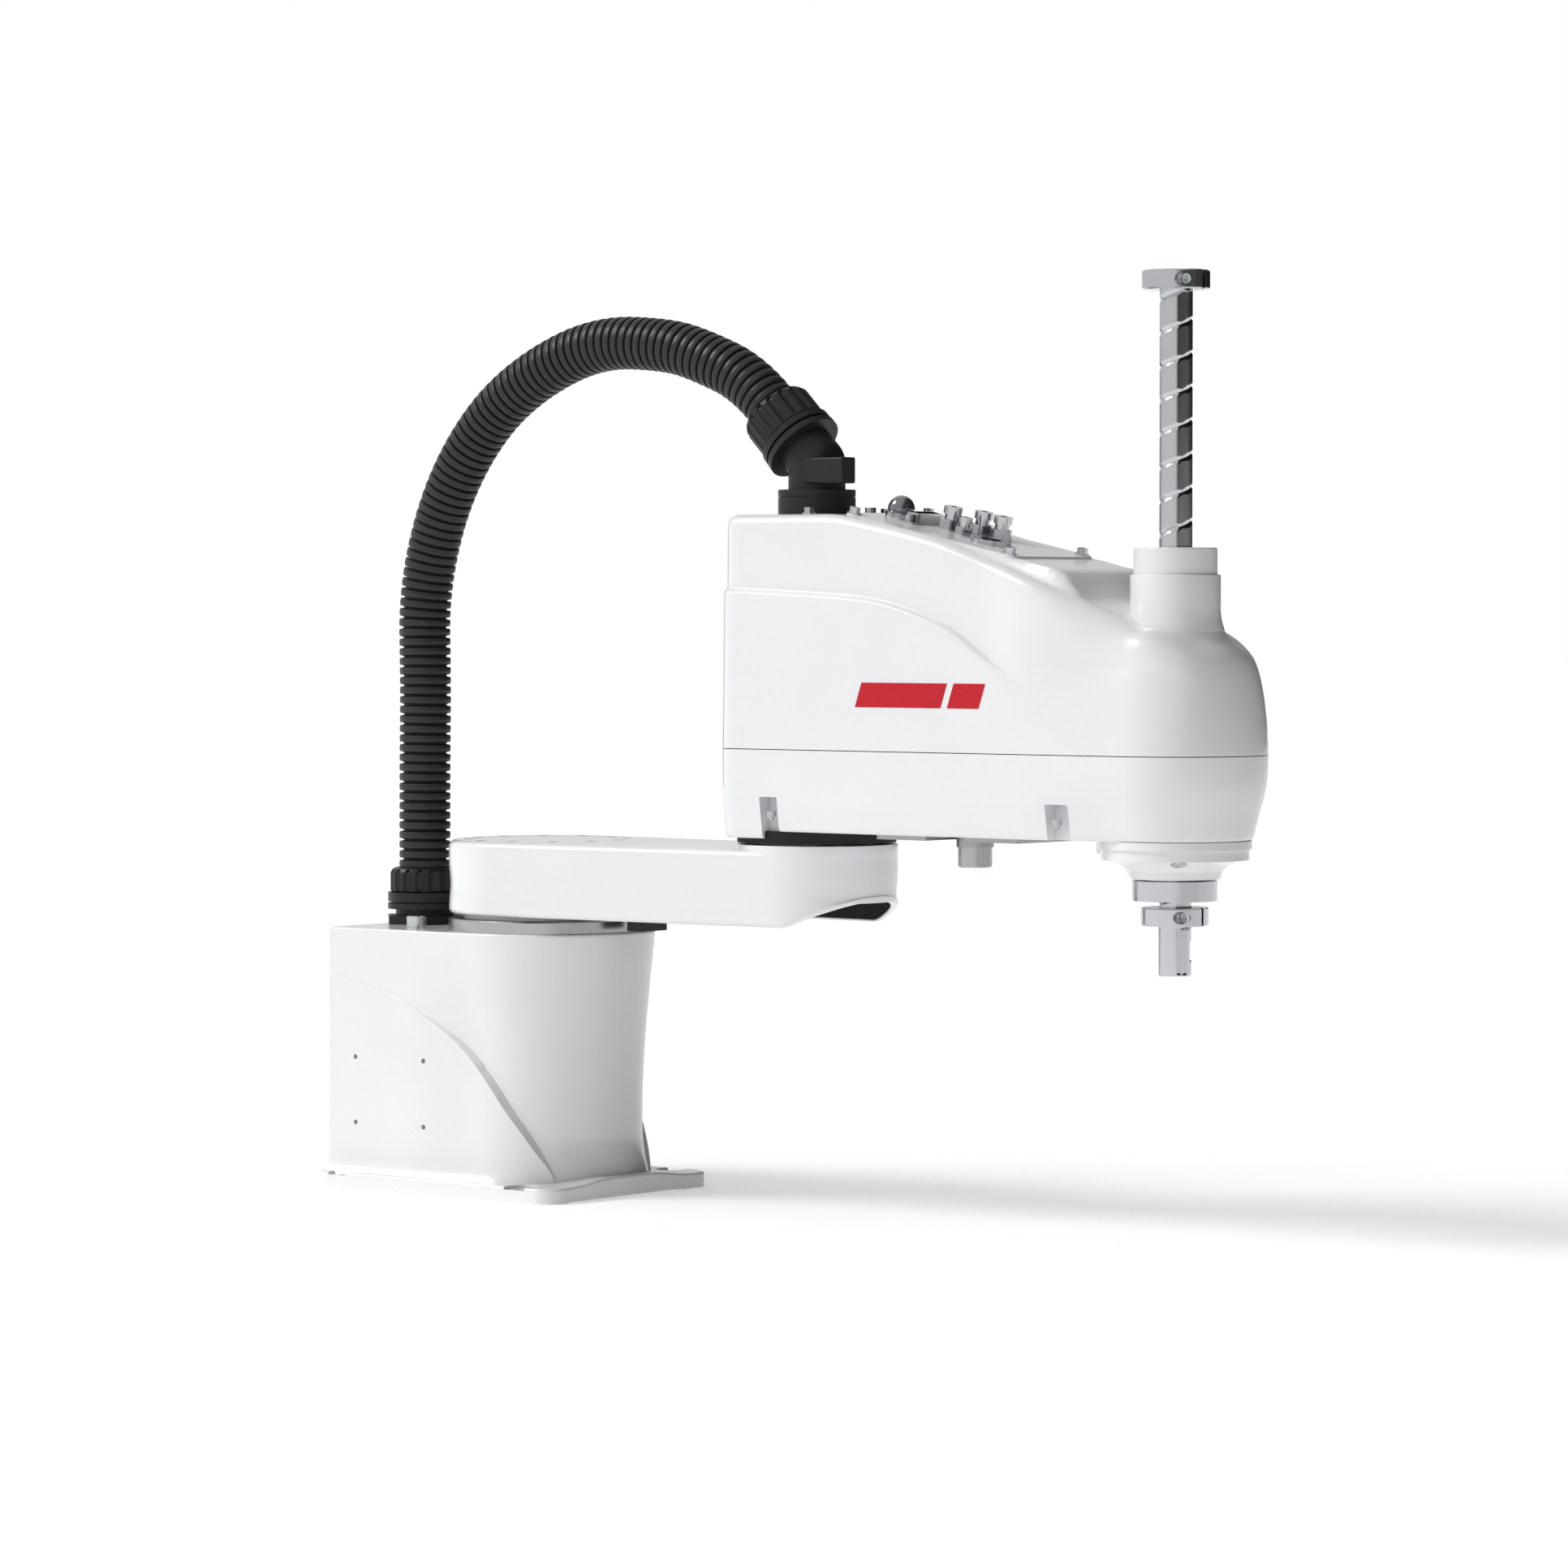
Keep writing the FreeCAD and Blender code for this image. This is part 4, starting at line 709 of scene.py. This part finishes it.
BASE_HEIGHTS = [8, 10, 11.5, 13, 15, 17.5, 20, 24, *range(28, 131, 3), 132, 134, 136, 137.2, 138.3, 138.7,
                *np.arange(142, 168.5, 3.5), BASE_TOP - BASE_EDGE_R]
SIDE_HOLES = [(x, z) for x in (-107.5, -47.5) for z in (42.5, 85.5)]
SIDE_HOLE_R = 1.65
REAR_OPENING = ((-134, -129.4), (-58, 58), (16, 156))


def skin_half(x, radius, half):
    """Half width of an outline that is round in front of the axis and flat at the rear."""
    if x >= 0:
        return math.sqrt(max(0.0, radius ** 2 - x ** 2))
    return radius + (half - radius) * smoothstep(0, BASE_BLEND, -x)


def base_column(z):
    """The near-side ring of the column at one height, from the rear middle to the front middle."""
    radius = along(COLUMN_R, z)
    swept = z < SWEEP_TOP
    skin_r, skin_y = (PANEL_R, PANEL_Y) if swept else (radius, BASE_HALF)
    x0 = along(SWEEP, z) if swept else NO_SWEEP_X
    flare = FLARE[0] * max(0.0, (FLARE[1] - z) / FLARE[2]) ** 2
    out = [(BASE_REAR, y) for y in np.linspace(0, skin_half(BASE_REAR, skin_r, skin_y) - 2, 8)]
    out += [(x, skin_half(x, skin_r, skin_y) + flare * smoothstep(*FLARE_FADE, x))
            for x in np.linspace(BASE_REAR, x0, 36)]
    y0 = out[-1][1]
    if x0 > 0:
        a = math.atan2(y0, x0) - LEDGE_LEAN / radius * smoothstep(10, 34, z)
        x1, y1 = min((radius * math.cos(a), radius * math.sin(a)), (x0, y0), key=lambda p: math.hypot(*p))
    else:
        x1 = min(-0.01, x0 + 0.4 + LEDGE_LEAN * smoothstep(-110, 0, x0))
        y1 = skin_half(x1, radius, BASE_HALF)
    out += [(x0 + (x1 - x0) * t, y0 + (y1 - y0) * t) for t in (0.25, 0.5, 0.75, 1.0)]
    flat = max(0.0, -x1)
    first = math.atan2(y1, x1) if x1 > 0 else math.pi / 2
    total = flat + first * radius
    for k in range(1, COLUMN_STEPS + 1):
        s = total * k / COLUMN_STEPS
        if s < flat:
            out.append((x1 + s, skin_half(x1 + s, radius, BASE_HALF)))
        else:
            a = first * (total - s) / (total - flat)
            out.append((radius * math.cos(a), radius * math.sin(a)))
    return [(x, h, z) for x, h in out]


def base_rings():
    """Rings up the column, with a rounded edge at the top."""
    rings = [base_column(z) for z in BASE_HEIGHTS]
    top = rings[-1]
    for a in quarter(4):
        inset = BASE_EDGE_R * (1 - math.cos(a))
        z = BASE_TOP - BASE_EDGE_R + BASE_EDGE_R * math.sin(a)
        rings.append([(x + (inset if x < -120 else -inset * x / 70), h - inset * min(1.0, h / 20), z)
                      for x, h, _ in top])
    return rings


base_body = mesh_object("base_column_shell", *ring_skin(base_rings()), WHITE, "base", "white_paint",
                        sharp=BASE_SHARP)
side_holes = [rod((x, side * 60, z), (x, side * 76, z), SIDE_HOLE_R)
              for side in (-1, 1) for x, z in SIDE_HOLES]
carve(base_body, [*side_holes, box(*REAR_OPENING)], BASE_SHARP)
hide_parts("base_casting")

# --- foot plate ---------------------------------------------------------------------------------
PLATE_X = (-137.0, 72.0)
PLATE_HALF = 81.0
PLATE_CORNER = 14.5
PLATE_TOP = 10.0
PLATE_MIDDLE = -30.0
PLATE_SWELL = 3.6
PLATE_UNDERSIDE = ((0.6, 0.0), (0.15, 0.4), (0.0, 1.2))           # inset and height of each ring
PLATE_EDGE = ((0.0, 1.6), (0.25, 0.8), (0.8, 0.2), (1.6, 0.0))    # inset and drop of each ring
FOOT_HOLES = [(-113.0, 75.0), (42.0, 75.0)]
FOOT_HOLE_R = 3.3
FOOT_POCKET_R = 9.0
FOOT_POCKET_Z = (8.0, 20)
RELIEF_SLOT = ((PLATE_X[1] - 4.5, PLATE_X[1] + 3), (-62, 48), (-2, 1.7))


def plate_outline(inset):
    """The near half of the foot plate's rounded outline, moved inwards by an amount."""
    x0, x1 = PLATE_X[0] + inset, PLATE_X[1] - inset
    half, r = PLATE_HALF - inset, PLATE_CORNER - inset
    corner = quarter(10)
    out = [(x0, y) for y in np.linspace(0, half - r, 12)]
    out += [(x0 + r - r * math.cos(a), half - r + r * math.sin(a)) for a in corner]
    out += [(x, half) for x in np.linspace(x0 + r, x1 - r, 34)[1:]]
    out += [(x1 - r + r * math.sin(a), half - r + r * math.cos(a)) for a in corner]
    out += [(x1, y) for y in np.linspace(half - r, 0, 22)[1:]]
    return out


def plate_height(x, y):
    """The plate's upper surface: level at the corners, swelling up to the column in front."""
    return PLATE_TOP + PLATE_SWELL * smoothstep(38, 60, x) * (1 - smoothstep(18, 62, abs(y)))


def plate_rings():
    """Rings from the underside out, up the edge and in over the top."""
    rings = [[(x, h, z) for x, h in plate_outline(inset)] for inset, z in PLATE_UNDERSIDE]
    rings += [[(x, h, plate_height(x, h) - drop) for x, h in plate_outline(inset)]
              for inset, drop in PLATE_EDGE]
    rim = plate_outline(PLATE_EDGE[-1][0])
    for t in (0.1, 0.22, 0.36, 0.52, 0.7, 0.9):
        plan = [(x + (PLATE_MIDDLE - x) * t, h * (1 - t)) for x, h in rim]
        rings.append([(x, h, plate_height(x, h)) for x, h in plan])
    return rings


def plate_cuts():
    """The relief slot in front, and a stepped screw hole, open at the side, at each corner."""
    yield box(*RELIEF_SLOT)
    for x, y in FOOT_HOLES:
        for side in (-1, 1):
            inner = side * (y - 3)
            yield box((x - FOOT_POCKET_R, x + FOOT_POCKET_R), sorted((inner, side * 90)), FOOT_POCKET_Z)
            yield rod((x, inner, FOOT_POCKET_Z[0]), (x, inner, FOOT_POCKET_Z[1]), FOOT_POCKET_R)
            yield rod((x, side * y, -2), (x, side * y, 12), FOOT_HOLE_R)


base_plate = mesh_object("base_plate_shell", *ring_skin(plate_rings()), WHITE, "base", "white_paint",
                         sharp=40)
carve(base_plate, plate_cuts())

# --- first link ---------------------------------------------------------------------------------
LINK_HUB = 65.0
LINK_TIP = 51.0
LINK_LOW = 181.0
LINK_TOP = 229.0
LINK_EDGE_R = 5.0
LINK_FOOT_R = 3.2
LINK_SCOOP = (0.9, 200.0, 8.5)  # depth, middle and spread of the hollow along the link's side
LINK_RISE = [(236, 0.0), (241, 1.2), (250, 5.0), (261, 9.4), (276, 16.0)]
HOLLOW_RIM = [(30.0, 206.0, 0.0), (5.2, 206.0, 0.0), (5.0, 200.0, 0.4), (4.8, LINK_LOW + 0.6, 1.0),
              (4.2, LINK_LOW, 1.0), (LINK_FOOT_R, LINK_LOW, 1.0)]
LINK_TOP_INSETS = (12.0, 24.0, 38.0, 49.0)
# painted shade: the profile of the near-black sheet inside the hollow near the tip
HOLLOW_SHADE_PROFILE = [(4.85, 182.2, 1.0), (5.3, 199.0, 0.4), (6.5, 203.0, 0.0), (20.0, 203.0, 0.0), (35.0, 203.0, 0.0)]
HOLLOW_SHADE_START = 92.0
BOLT_CIRCLE_R = 51.5
BOLT_COUNT = 12
COUNTERBORE_R = 4.2
RIB_BOX = ((36.5, 44.8), (-1.1, 1.1), (195.2, 203.5))
RIB_ANGLES = (-34.0, 34.0)
BOSS_PROFILE = [(30, 222), (LINK_TIP, 222), (LINK_TIP, 232), (30, 232)]


def link_outline(inset):
    """The near half of the link's outline, from behind the first joint to the tip."""
    r1, r2 = LINK_HUB - inset, LINK_TIP - inset
    lean = math.acos((r1 - r2) / J2_X)
    (x0, y0), (x1, y1) = ((x + r * math.cos(lean), r * math.sin(lean)) for x, r in ((0, r1), (J2_X, r2)))
    out = [(-r1 * math.cos(a), r1 * math.sin(a)) for a in np.linspace(0, math.pi - lean, 44)]
    out += [(x0 + (x1 - x0) * t, y0 + (y1 - y0) * t) for t in np.linspace(0, 1, 42)[1:]]
    out += [(J2_X + r2 * math.cos(a), r2 * math.sin(a)) for a in np.linspace(lean, 0, 30)[1:]]
    return out


def link_profile():
    """(inset, height, share of the tip's rise) from inside the underside, out, up and over the top."""
    depth, middle, spread = LINK_SCOOP
    foot = [(LINK_FOOT_R * (1 - math.sin(a)), LINK_LOW + LINK_FOOT_R * (1 - math.cos(a)), 1.0)
            for a in quarter(7)]
    side = [(depth * math.exp(-((z - middle) / spread) ** 2), z, max(0.0, 1 - (z - 184) / 12))
            for z in np.linspace(185, 223, 22)]
    start = LINK_TOP - LINK_EDGE_R
    edge = [(LINK_EDGE_R * (1 - math.cos(a)), start + LINK_EDGE_R * math.sin(a), 0.0) for a in quarter(8)]
    return HOLLOW_RIM + foot + side + edge + [(inset, LINK_TOP, 0.0) for inset in LINK_TOP_INSETS]


def link_rings(profile):
    """The link's outline at each step of a profile, following the rise of the underside at the tip."""
    rise = [along(LINK_RISE, x) for x, h in link_outline(0.0)]
    return [[(x, h, z + share * lift) for (x, h), lift in zip(link_outline(inset), rise)]
            for inset, z, share in profile]


def counterbores():
    """A ring of bolt holes in the top over the first joint."""
    for k in range(BOLT_COUNT):
        a = 2 * math.pi * (k + 0.5) / BOLT_COUNT
        x, y = BOLT_CIRCLE_R * math.cos(a), BOLT_CIRCLE_R * math.sin(a)
        yield rod((x, y, LINK_TOP - 6), (x, y, LINK_TOP + 4), COUNTERBORE_R)


def hollow_shade_sheet():
    """Painted shade: a near-black inner wall and ceiling in the open underside near the tip, for the shade inside
    the hollow.
    """
    columns = mirrored([c for c in zip(*link_rings(HOLLOW_SHADE_PROFILE)) if c[0][0] > HOLLOW_SHADE_START])
    faces = grid_faces(len(columns), len(HOLLOW_SHADE_PROFILE))
    return [point for column in columns for point in column], faces


def hollow_ribs():
    """Two stiffening ribs across the hollow, either side of the second joint's axis."""
    for angle in RIB_ANGLES:
        turn = Matrix.Translation((J2_X, 0, 0)) @ Matrix.Rotation(math.radians(angle), 4, "Z")
        verts, faces = box(*RIB_BOX)
        yield [tuple(turn @ Vector(p)) for p in verts], faces


link_shell = mesh_object("link_shell", *ring_skin(link_rings(link_profile())), WHITE, "first_link",
                         "white_paint")
carve(link_shell, counterbores())
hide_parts("link_casting")
mesh_object("link_elbow_boss", *spun(rounded(BOSS_PROFILE, 1.0), J2_X), WHITE, "first_link", "white_paint")
# painted shade: the inside of the hollow is a near-black sheet instead of the casting's white
mesh_object("link_hollow_painted_shade", *hollow_shade_sheet(), SHADOW, "first_link", "white_paint")
# painted shade: the ribs are real, but they take the dark metal colour for the shade in the hollow, not the white
# of the casting they belong to
link_ribs = mesh_object("link_hollow_ribs", *joined(hollow_ribs()), DARK, "first_link", "white_paint")
soften(link_ribs, 0.4)

# --- spindle ------------------------------------------------------------------------------------
SHAFT_R = 10.0
SHAFT_BORE = 5.5
SHAFT_LOW, SHAFT_HIGH = 160.0, 580.0
SHAFT_CHAMFER = 0.6
SHAFT_STEPS = 144
SHAFT_CELL = 0.75
LEAD = 20.0
THREAD_Z = (189.0, 578.0)
THREAD_WIDTH = 2.8
THREAD_DEPTH = 1.0
SPLINE_COUNT = 3
SPLINE_LOW = 160.8
SPLINE_WIDTH = 6.1
SPLINE_DEPTH = 0.8
SPLINE_TURN = math.radians(-28)
TOOL_FLAT = (169.0, 180.5)
TOOL_FLAT_DEPTH = 1.0
TOOL_FLAT_TURN = math.radians(36)


def groove(distance, width):
    """A round-bottomed groove's share of its depth at a distance from its middle."""
    t = abs(distance) / (width / 2)
    return math.sqrt(1 - t * t) if t < 1 else 0.0


def shaft_radius(a, z):
    """The shaft's radius at an angle and height, with its thread, splines, tool flat and chamfers."""
    radius = SHAFT_R
    if THREAD_Z[0] < z < THREAD_Z[1]:
        phase = (z / LEAD - a / (2 * math.pi)) % 1.0
        radius -= THREAD_DEPTH * groove((phase - 0.5) * LEAD, THREAD_WIDTH)
    if z > SPLINE_LOW:
        for k in range(SPLINE_COUNT):
            turn = (a - SPLINE_TURN - 2 * math.pi * k / SPLINE_COUNT + math.pi) % (2 * math.pi) - math.pi
            radius = min(radius, SHAFT_R - SPLINE_DEPTH * groove(turn * SHAFT_R, SPLINE_WIDTH))
    facing = math.cos(a - TOOL_FLAT_TURN)
    if TOOL_FLAT[0] <= z <= TOOL_FLAT[1] and facing > 0.5:
        radius = min(radius, (SHAFT_R - TOOL_FLAT_DEPTH) / facing)
    end = min(z - SHAFT_LOW, SHAFT_HIGH - z)
    return radius - max(0.0, SHAFT_CHAMFER - end)


def shaft_mesh():
    """The hollow shaft: rows up its outside, then down its bore."""
    heights = [SHAFT_LOW, 160.3, 160.7, *np.arange(161.3, 579.2, SHAFT_CELL), 579.4, 579.7, SHAFT_HIGH]
    angles = [2 * math.pi * k / SHAFT_STEPS for k in range(SHAFT_STEPS)]
    rows = [[(shaft_radius(a, z), a, z) for a in angles] for z in heights]
    rows += [[(SHAFT_BORE, a, z) for a in angles] for z in (SHAFT_HIGH, SHAFT_LOW)]
    verts = [(J3_X + r * math.cos(a), r * math.sin(a), z) for row in rows for r, a, z in row]
    return verts, grid_faces(len(rows), SHAFT_STEPS, True, True)


spindle = mesh_object("spindle_ball_screw_spline", *shaft_mesh(), STEEL, "spindle", "bright_steel", sharp=50)
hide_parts("spindle_shaft")

# --- conduit glands -----------------------------------------------------------------------------
GLAND_BORE_R = 16.9
FLUTES = 16
FLUTE_CELLS = 12
FLUTE_SHARE = 0.30             # half a flute's width as a share of the pitch
FLUTE_ARCH = 2.2               # how far a flute's arched end falls towards its sides
BASE_GLAND_X = -110.0
BASE_GRIP = [(GLAND_BORE_R, 191.2), (22.0, 191.2), (22.8, 192.0), (22.8, 204.0), (21.4, 206.4), (19.0, 207.4),
             (GLAND_BORE_R, 207.4)]
ELBOW_AT = (225.0, 0, 470.0)
ELBOW_TURN = math.radians(-45)
ARM_GRIP = [(GLAND_BORE_R, 24.4), (21.8, 24.4), (23.2, 25.6), (23.2, 44.4), (21.8, 47.2), (19.2, 48.6),
            (GLAND_BORE_R, 48.6)]
LATCH_BOX = ((228.6, 259.5), (-17.5, -4.2), (457.0, 473.2))
LATCH_EDGE_R = 1.1


def dense(profile, step=0.8):
    """The same closed profile with extra points along its long runs."""
    out = []
    for (r0, z0), (r1, z1) in zip(profile, profile[1:] + profile[:1]):
        count = max(1, int(math.hypot(r1 - r0, z1 - z0) / step))
        out += [(r0 + (r1 - r0) * k / count, z0 + (z1 - z0) * k / count) for k in range(count)]
    return out


def fluted(name, grip, depth, low, high, place, body):
    """A turned hand nut with rounded flutes between two heights, arched at their upper ends."""
    profile = dense(grip)
    around = FLUTES * FLUTE_CELLS
    verts = []
    for k in range(around):
        a = 2 * math.pi * k / around
        across = abs(k / FLUTE_CELLS % 1.0 - 0.5) / FLUTE_SHARE
        cut = depth * math.sqrt(max(0.0, 1 - across ** 2))
        arch = high - FLUTE_ARCH * across ** 2
        for r, z in profile:
            if r > GLAND_BORE_R + 1 and low < z < arch:
                r -= cut
            verts.append(tuple(place @ Vector((r * math.cos(a), r * math.sin(a), z))))
    faces = grid_faces(around, len(profile), True, True)
    return mesh_object(name, verts, faces, BLACK, body, "black_plastic", sharp=32)


base_grip = fluted("base_gland_fluted_grip", BASE_GRIP, 1.7, 192.4, 206.0,
                   Matrix.Translation((BASE_GLAND_X, 0, 0)), "base")
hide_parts("base_gland_grip")
arm_grip = fluted("arm_gland_fluted_grip", ARM_GRIP, 1.8, 26.6, 46.5,
                  Matrix.Translation(ELBOW_AT) @ Matrix.Rotation(ELBOW_TURN, 4, "Y"), "second_link")
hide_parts("arm_gland_grip")
latch = mesh_object("arm_gland_latch", *box(*LATCH_BOX), BLACK, "second_link", "black_plastic")
soften(latch, LATCH_EDGE_R, 3)

# --- accent bars --------------------------------------------------------------------------------
ACCENT_X = 300.0
ACCENT_Z = (319.0, 334.0)
ACCENT_LEAN = 5.0
ACCENT_WIDTHS = (66.0, 24.0)
ACCENT_GAP = 5.0
ACCENT_PROUD = 0.15
ACCENT_CELLS = 24


def accent_bars():
    """Plain red slanted bars on one flank, following its surface."""
    x = ACCENT_X
    shares = [k / ACCENT_CELLS for k in range(ACCENT_CELLS + 1)]
    for width in ACCENT_WIDTHS:
        verts = []
        for across in shares:
            for up in shares:
                px = x + ACCENT_LEAN * up + width * across
                z = ACCENT_Z[0] + (ACCENT_Z[1] - ACCENT_Z[0]) * up
                verts.append((px, -side_half(px, z) - ACCENT_PROUD, z))
        yield verts, grid_faces(len(shares), len(shares))
        x += width + ACCENT_GAP


mesh_object("accent_bars", *joined(accent_bars()), RED, "second_link", "white_plastic")

# --- floor and light ----------------------------------------------------------------------------
FLOOR_HALF = 30                # metres
FLOOR_GLOW = 0.34              # keeps the studio floor as pale as the backdrop
DIM_SIDE = (0.78, 0.57, -0.26)
DIM_FROM = -0.12
DIM_TO = 0.36
BRIGHT = 0.78
DIM = 0.02
KEY_FROM = (-0.60, -0.50, 0.72)
KEY_ENERGY = 1.15
KEY_ANGLE = math.radians(24)
GAMMA = 0.76


def studio_floor():
    """A wide pale floor."""
    h = FLOOR_HALF
    data = bpy.data.meshes.new("floor")
    data.from_pydata([(-h, -h, 0), (h, -h, 0), (h, h, 0), (-h, h, 0)], [], [(0, 1, 2, 3)])
    look = material("floor_white", (0.86, 0.86, 0.865), 0.85, grain=40, tone=0.004)
    shader = look.node_tree.nodes["Principled BSDF"]
    shader.inputs["Emission Color"].default_value = (1, 1, 1, 1)
    shader.inputs["Emission Strength"].default_value = FLOOR_GLOW
    shader.inputs["Specular IOR Level"].default_value = 0.1
    data.materials.append(look)
    placed("floor", data)


def studio_world():
    """Even white surroundings with one dim side, as a black flag beside a product table gives."""
    world = bpy.data.worlds.new("studio")
    world.use_nodes = True
    nt = world.node_tree
    background = nt.nodes["Background"]
    background.inputs["Color"].default_value = (1, 1, 1, 1)
    where = nt.nodes.new("ShaderNodeTexCoord")
    facing = nt.nodes.new("ShaderNodeVectorMath")
    facing.operation = "DOT_PRODUCT"
    facing.inputs[1].default_value = DIM_SIDE
    fall = nt.nodes.new("ShaderNodeMapRange")
    fall.interpolation_type = "SMOOTHSTEP"
    fall.inputs["From Min"].default_value = DIM_FROM
    fall.inputs["From Max"].default_value = DIM_TO
    fall.inputs["To Min"].default_value = BRIGHT
    fall.inputs["To Max"].default_value = DIM
    path = nt.nodes.new("ShaderNodeLightPath")
    seen = nt.nodes.new("ShaderNodeMix")
    seen.inputs["B"].default_value = 1.0
    nt.links.new(where.outputs["Generated"], facing.inputs[0])
    nt.links.new(facing.outputs["Value"], fall.inputs["Value"])
    nt.links.new(path.outputs["Is Camera Ray"], seen.inputs["Factor"])
    nt.links.new(fall.outputs["Result"], seen.inputs["A"])
    nt.links.new(seen.outputs["Result"], background.inputs["Strength"])
    bpy.context.scene.world = world


def key_light():
    """A broad soft sun from the upper left."""
    sun = bpy.data.lights.new("key", "SUN")
    sun.energy = KEY_ENERGY
    sun.angle = KEY_ANGLE
    placed("key", sun).rotation_euler = Vector(KEY_FROM).to_track_quat("Z", "Y").to_euler()


studio_floor()
studio_world()
key_light()
bpy.context.scene.view_settings.view_transform = "Standard"
bpy.context.scene.view_settings.gamma = GAMMA
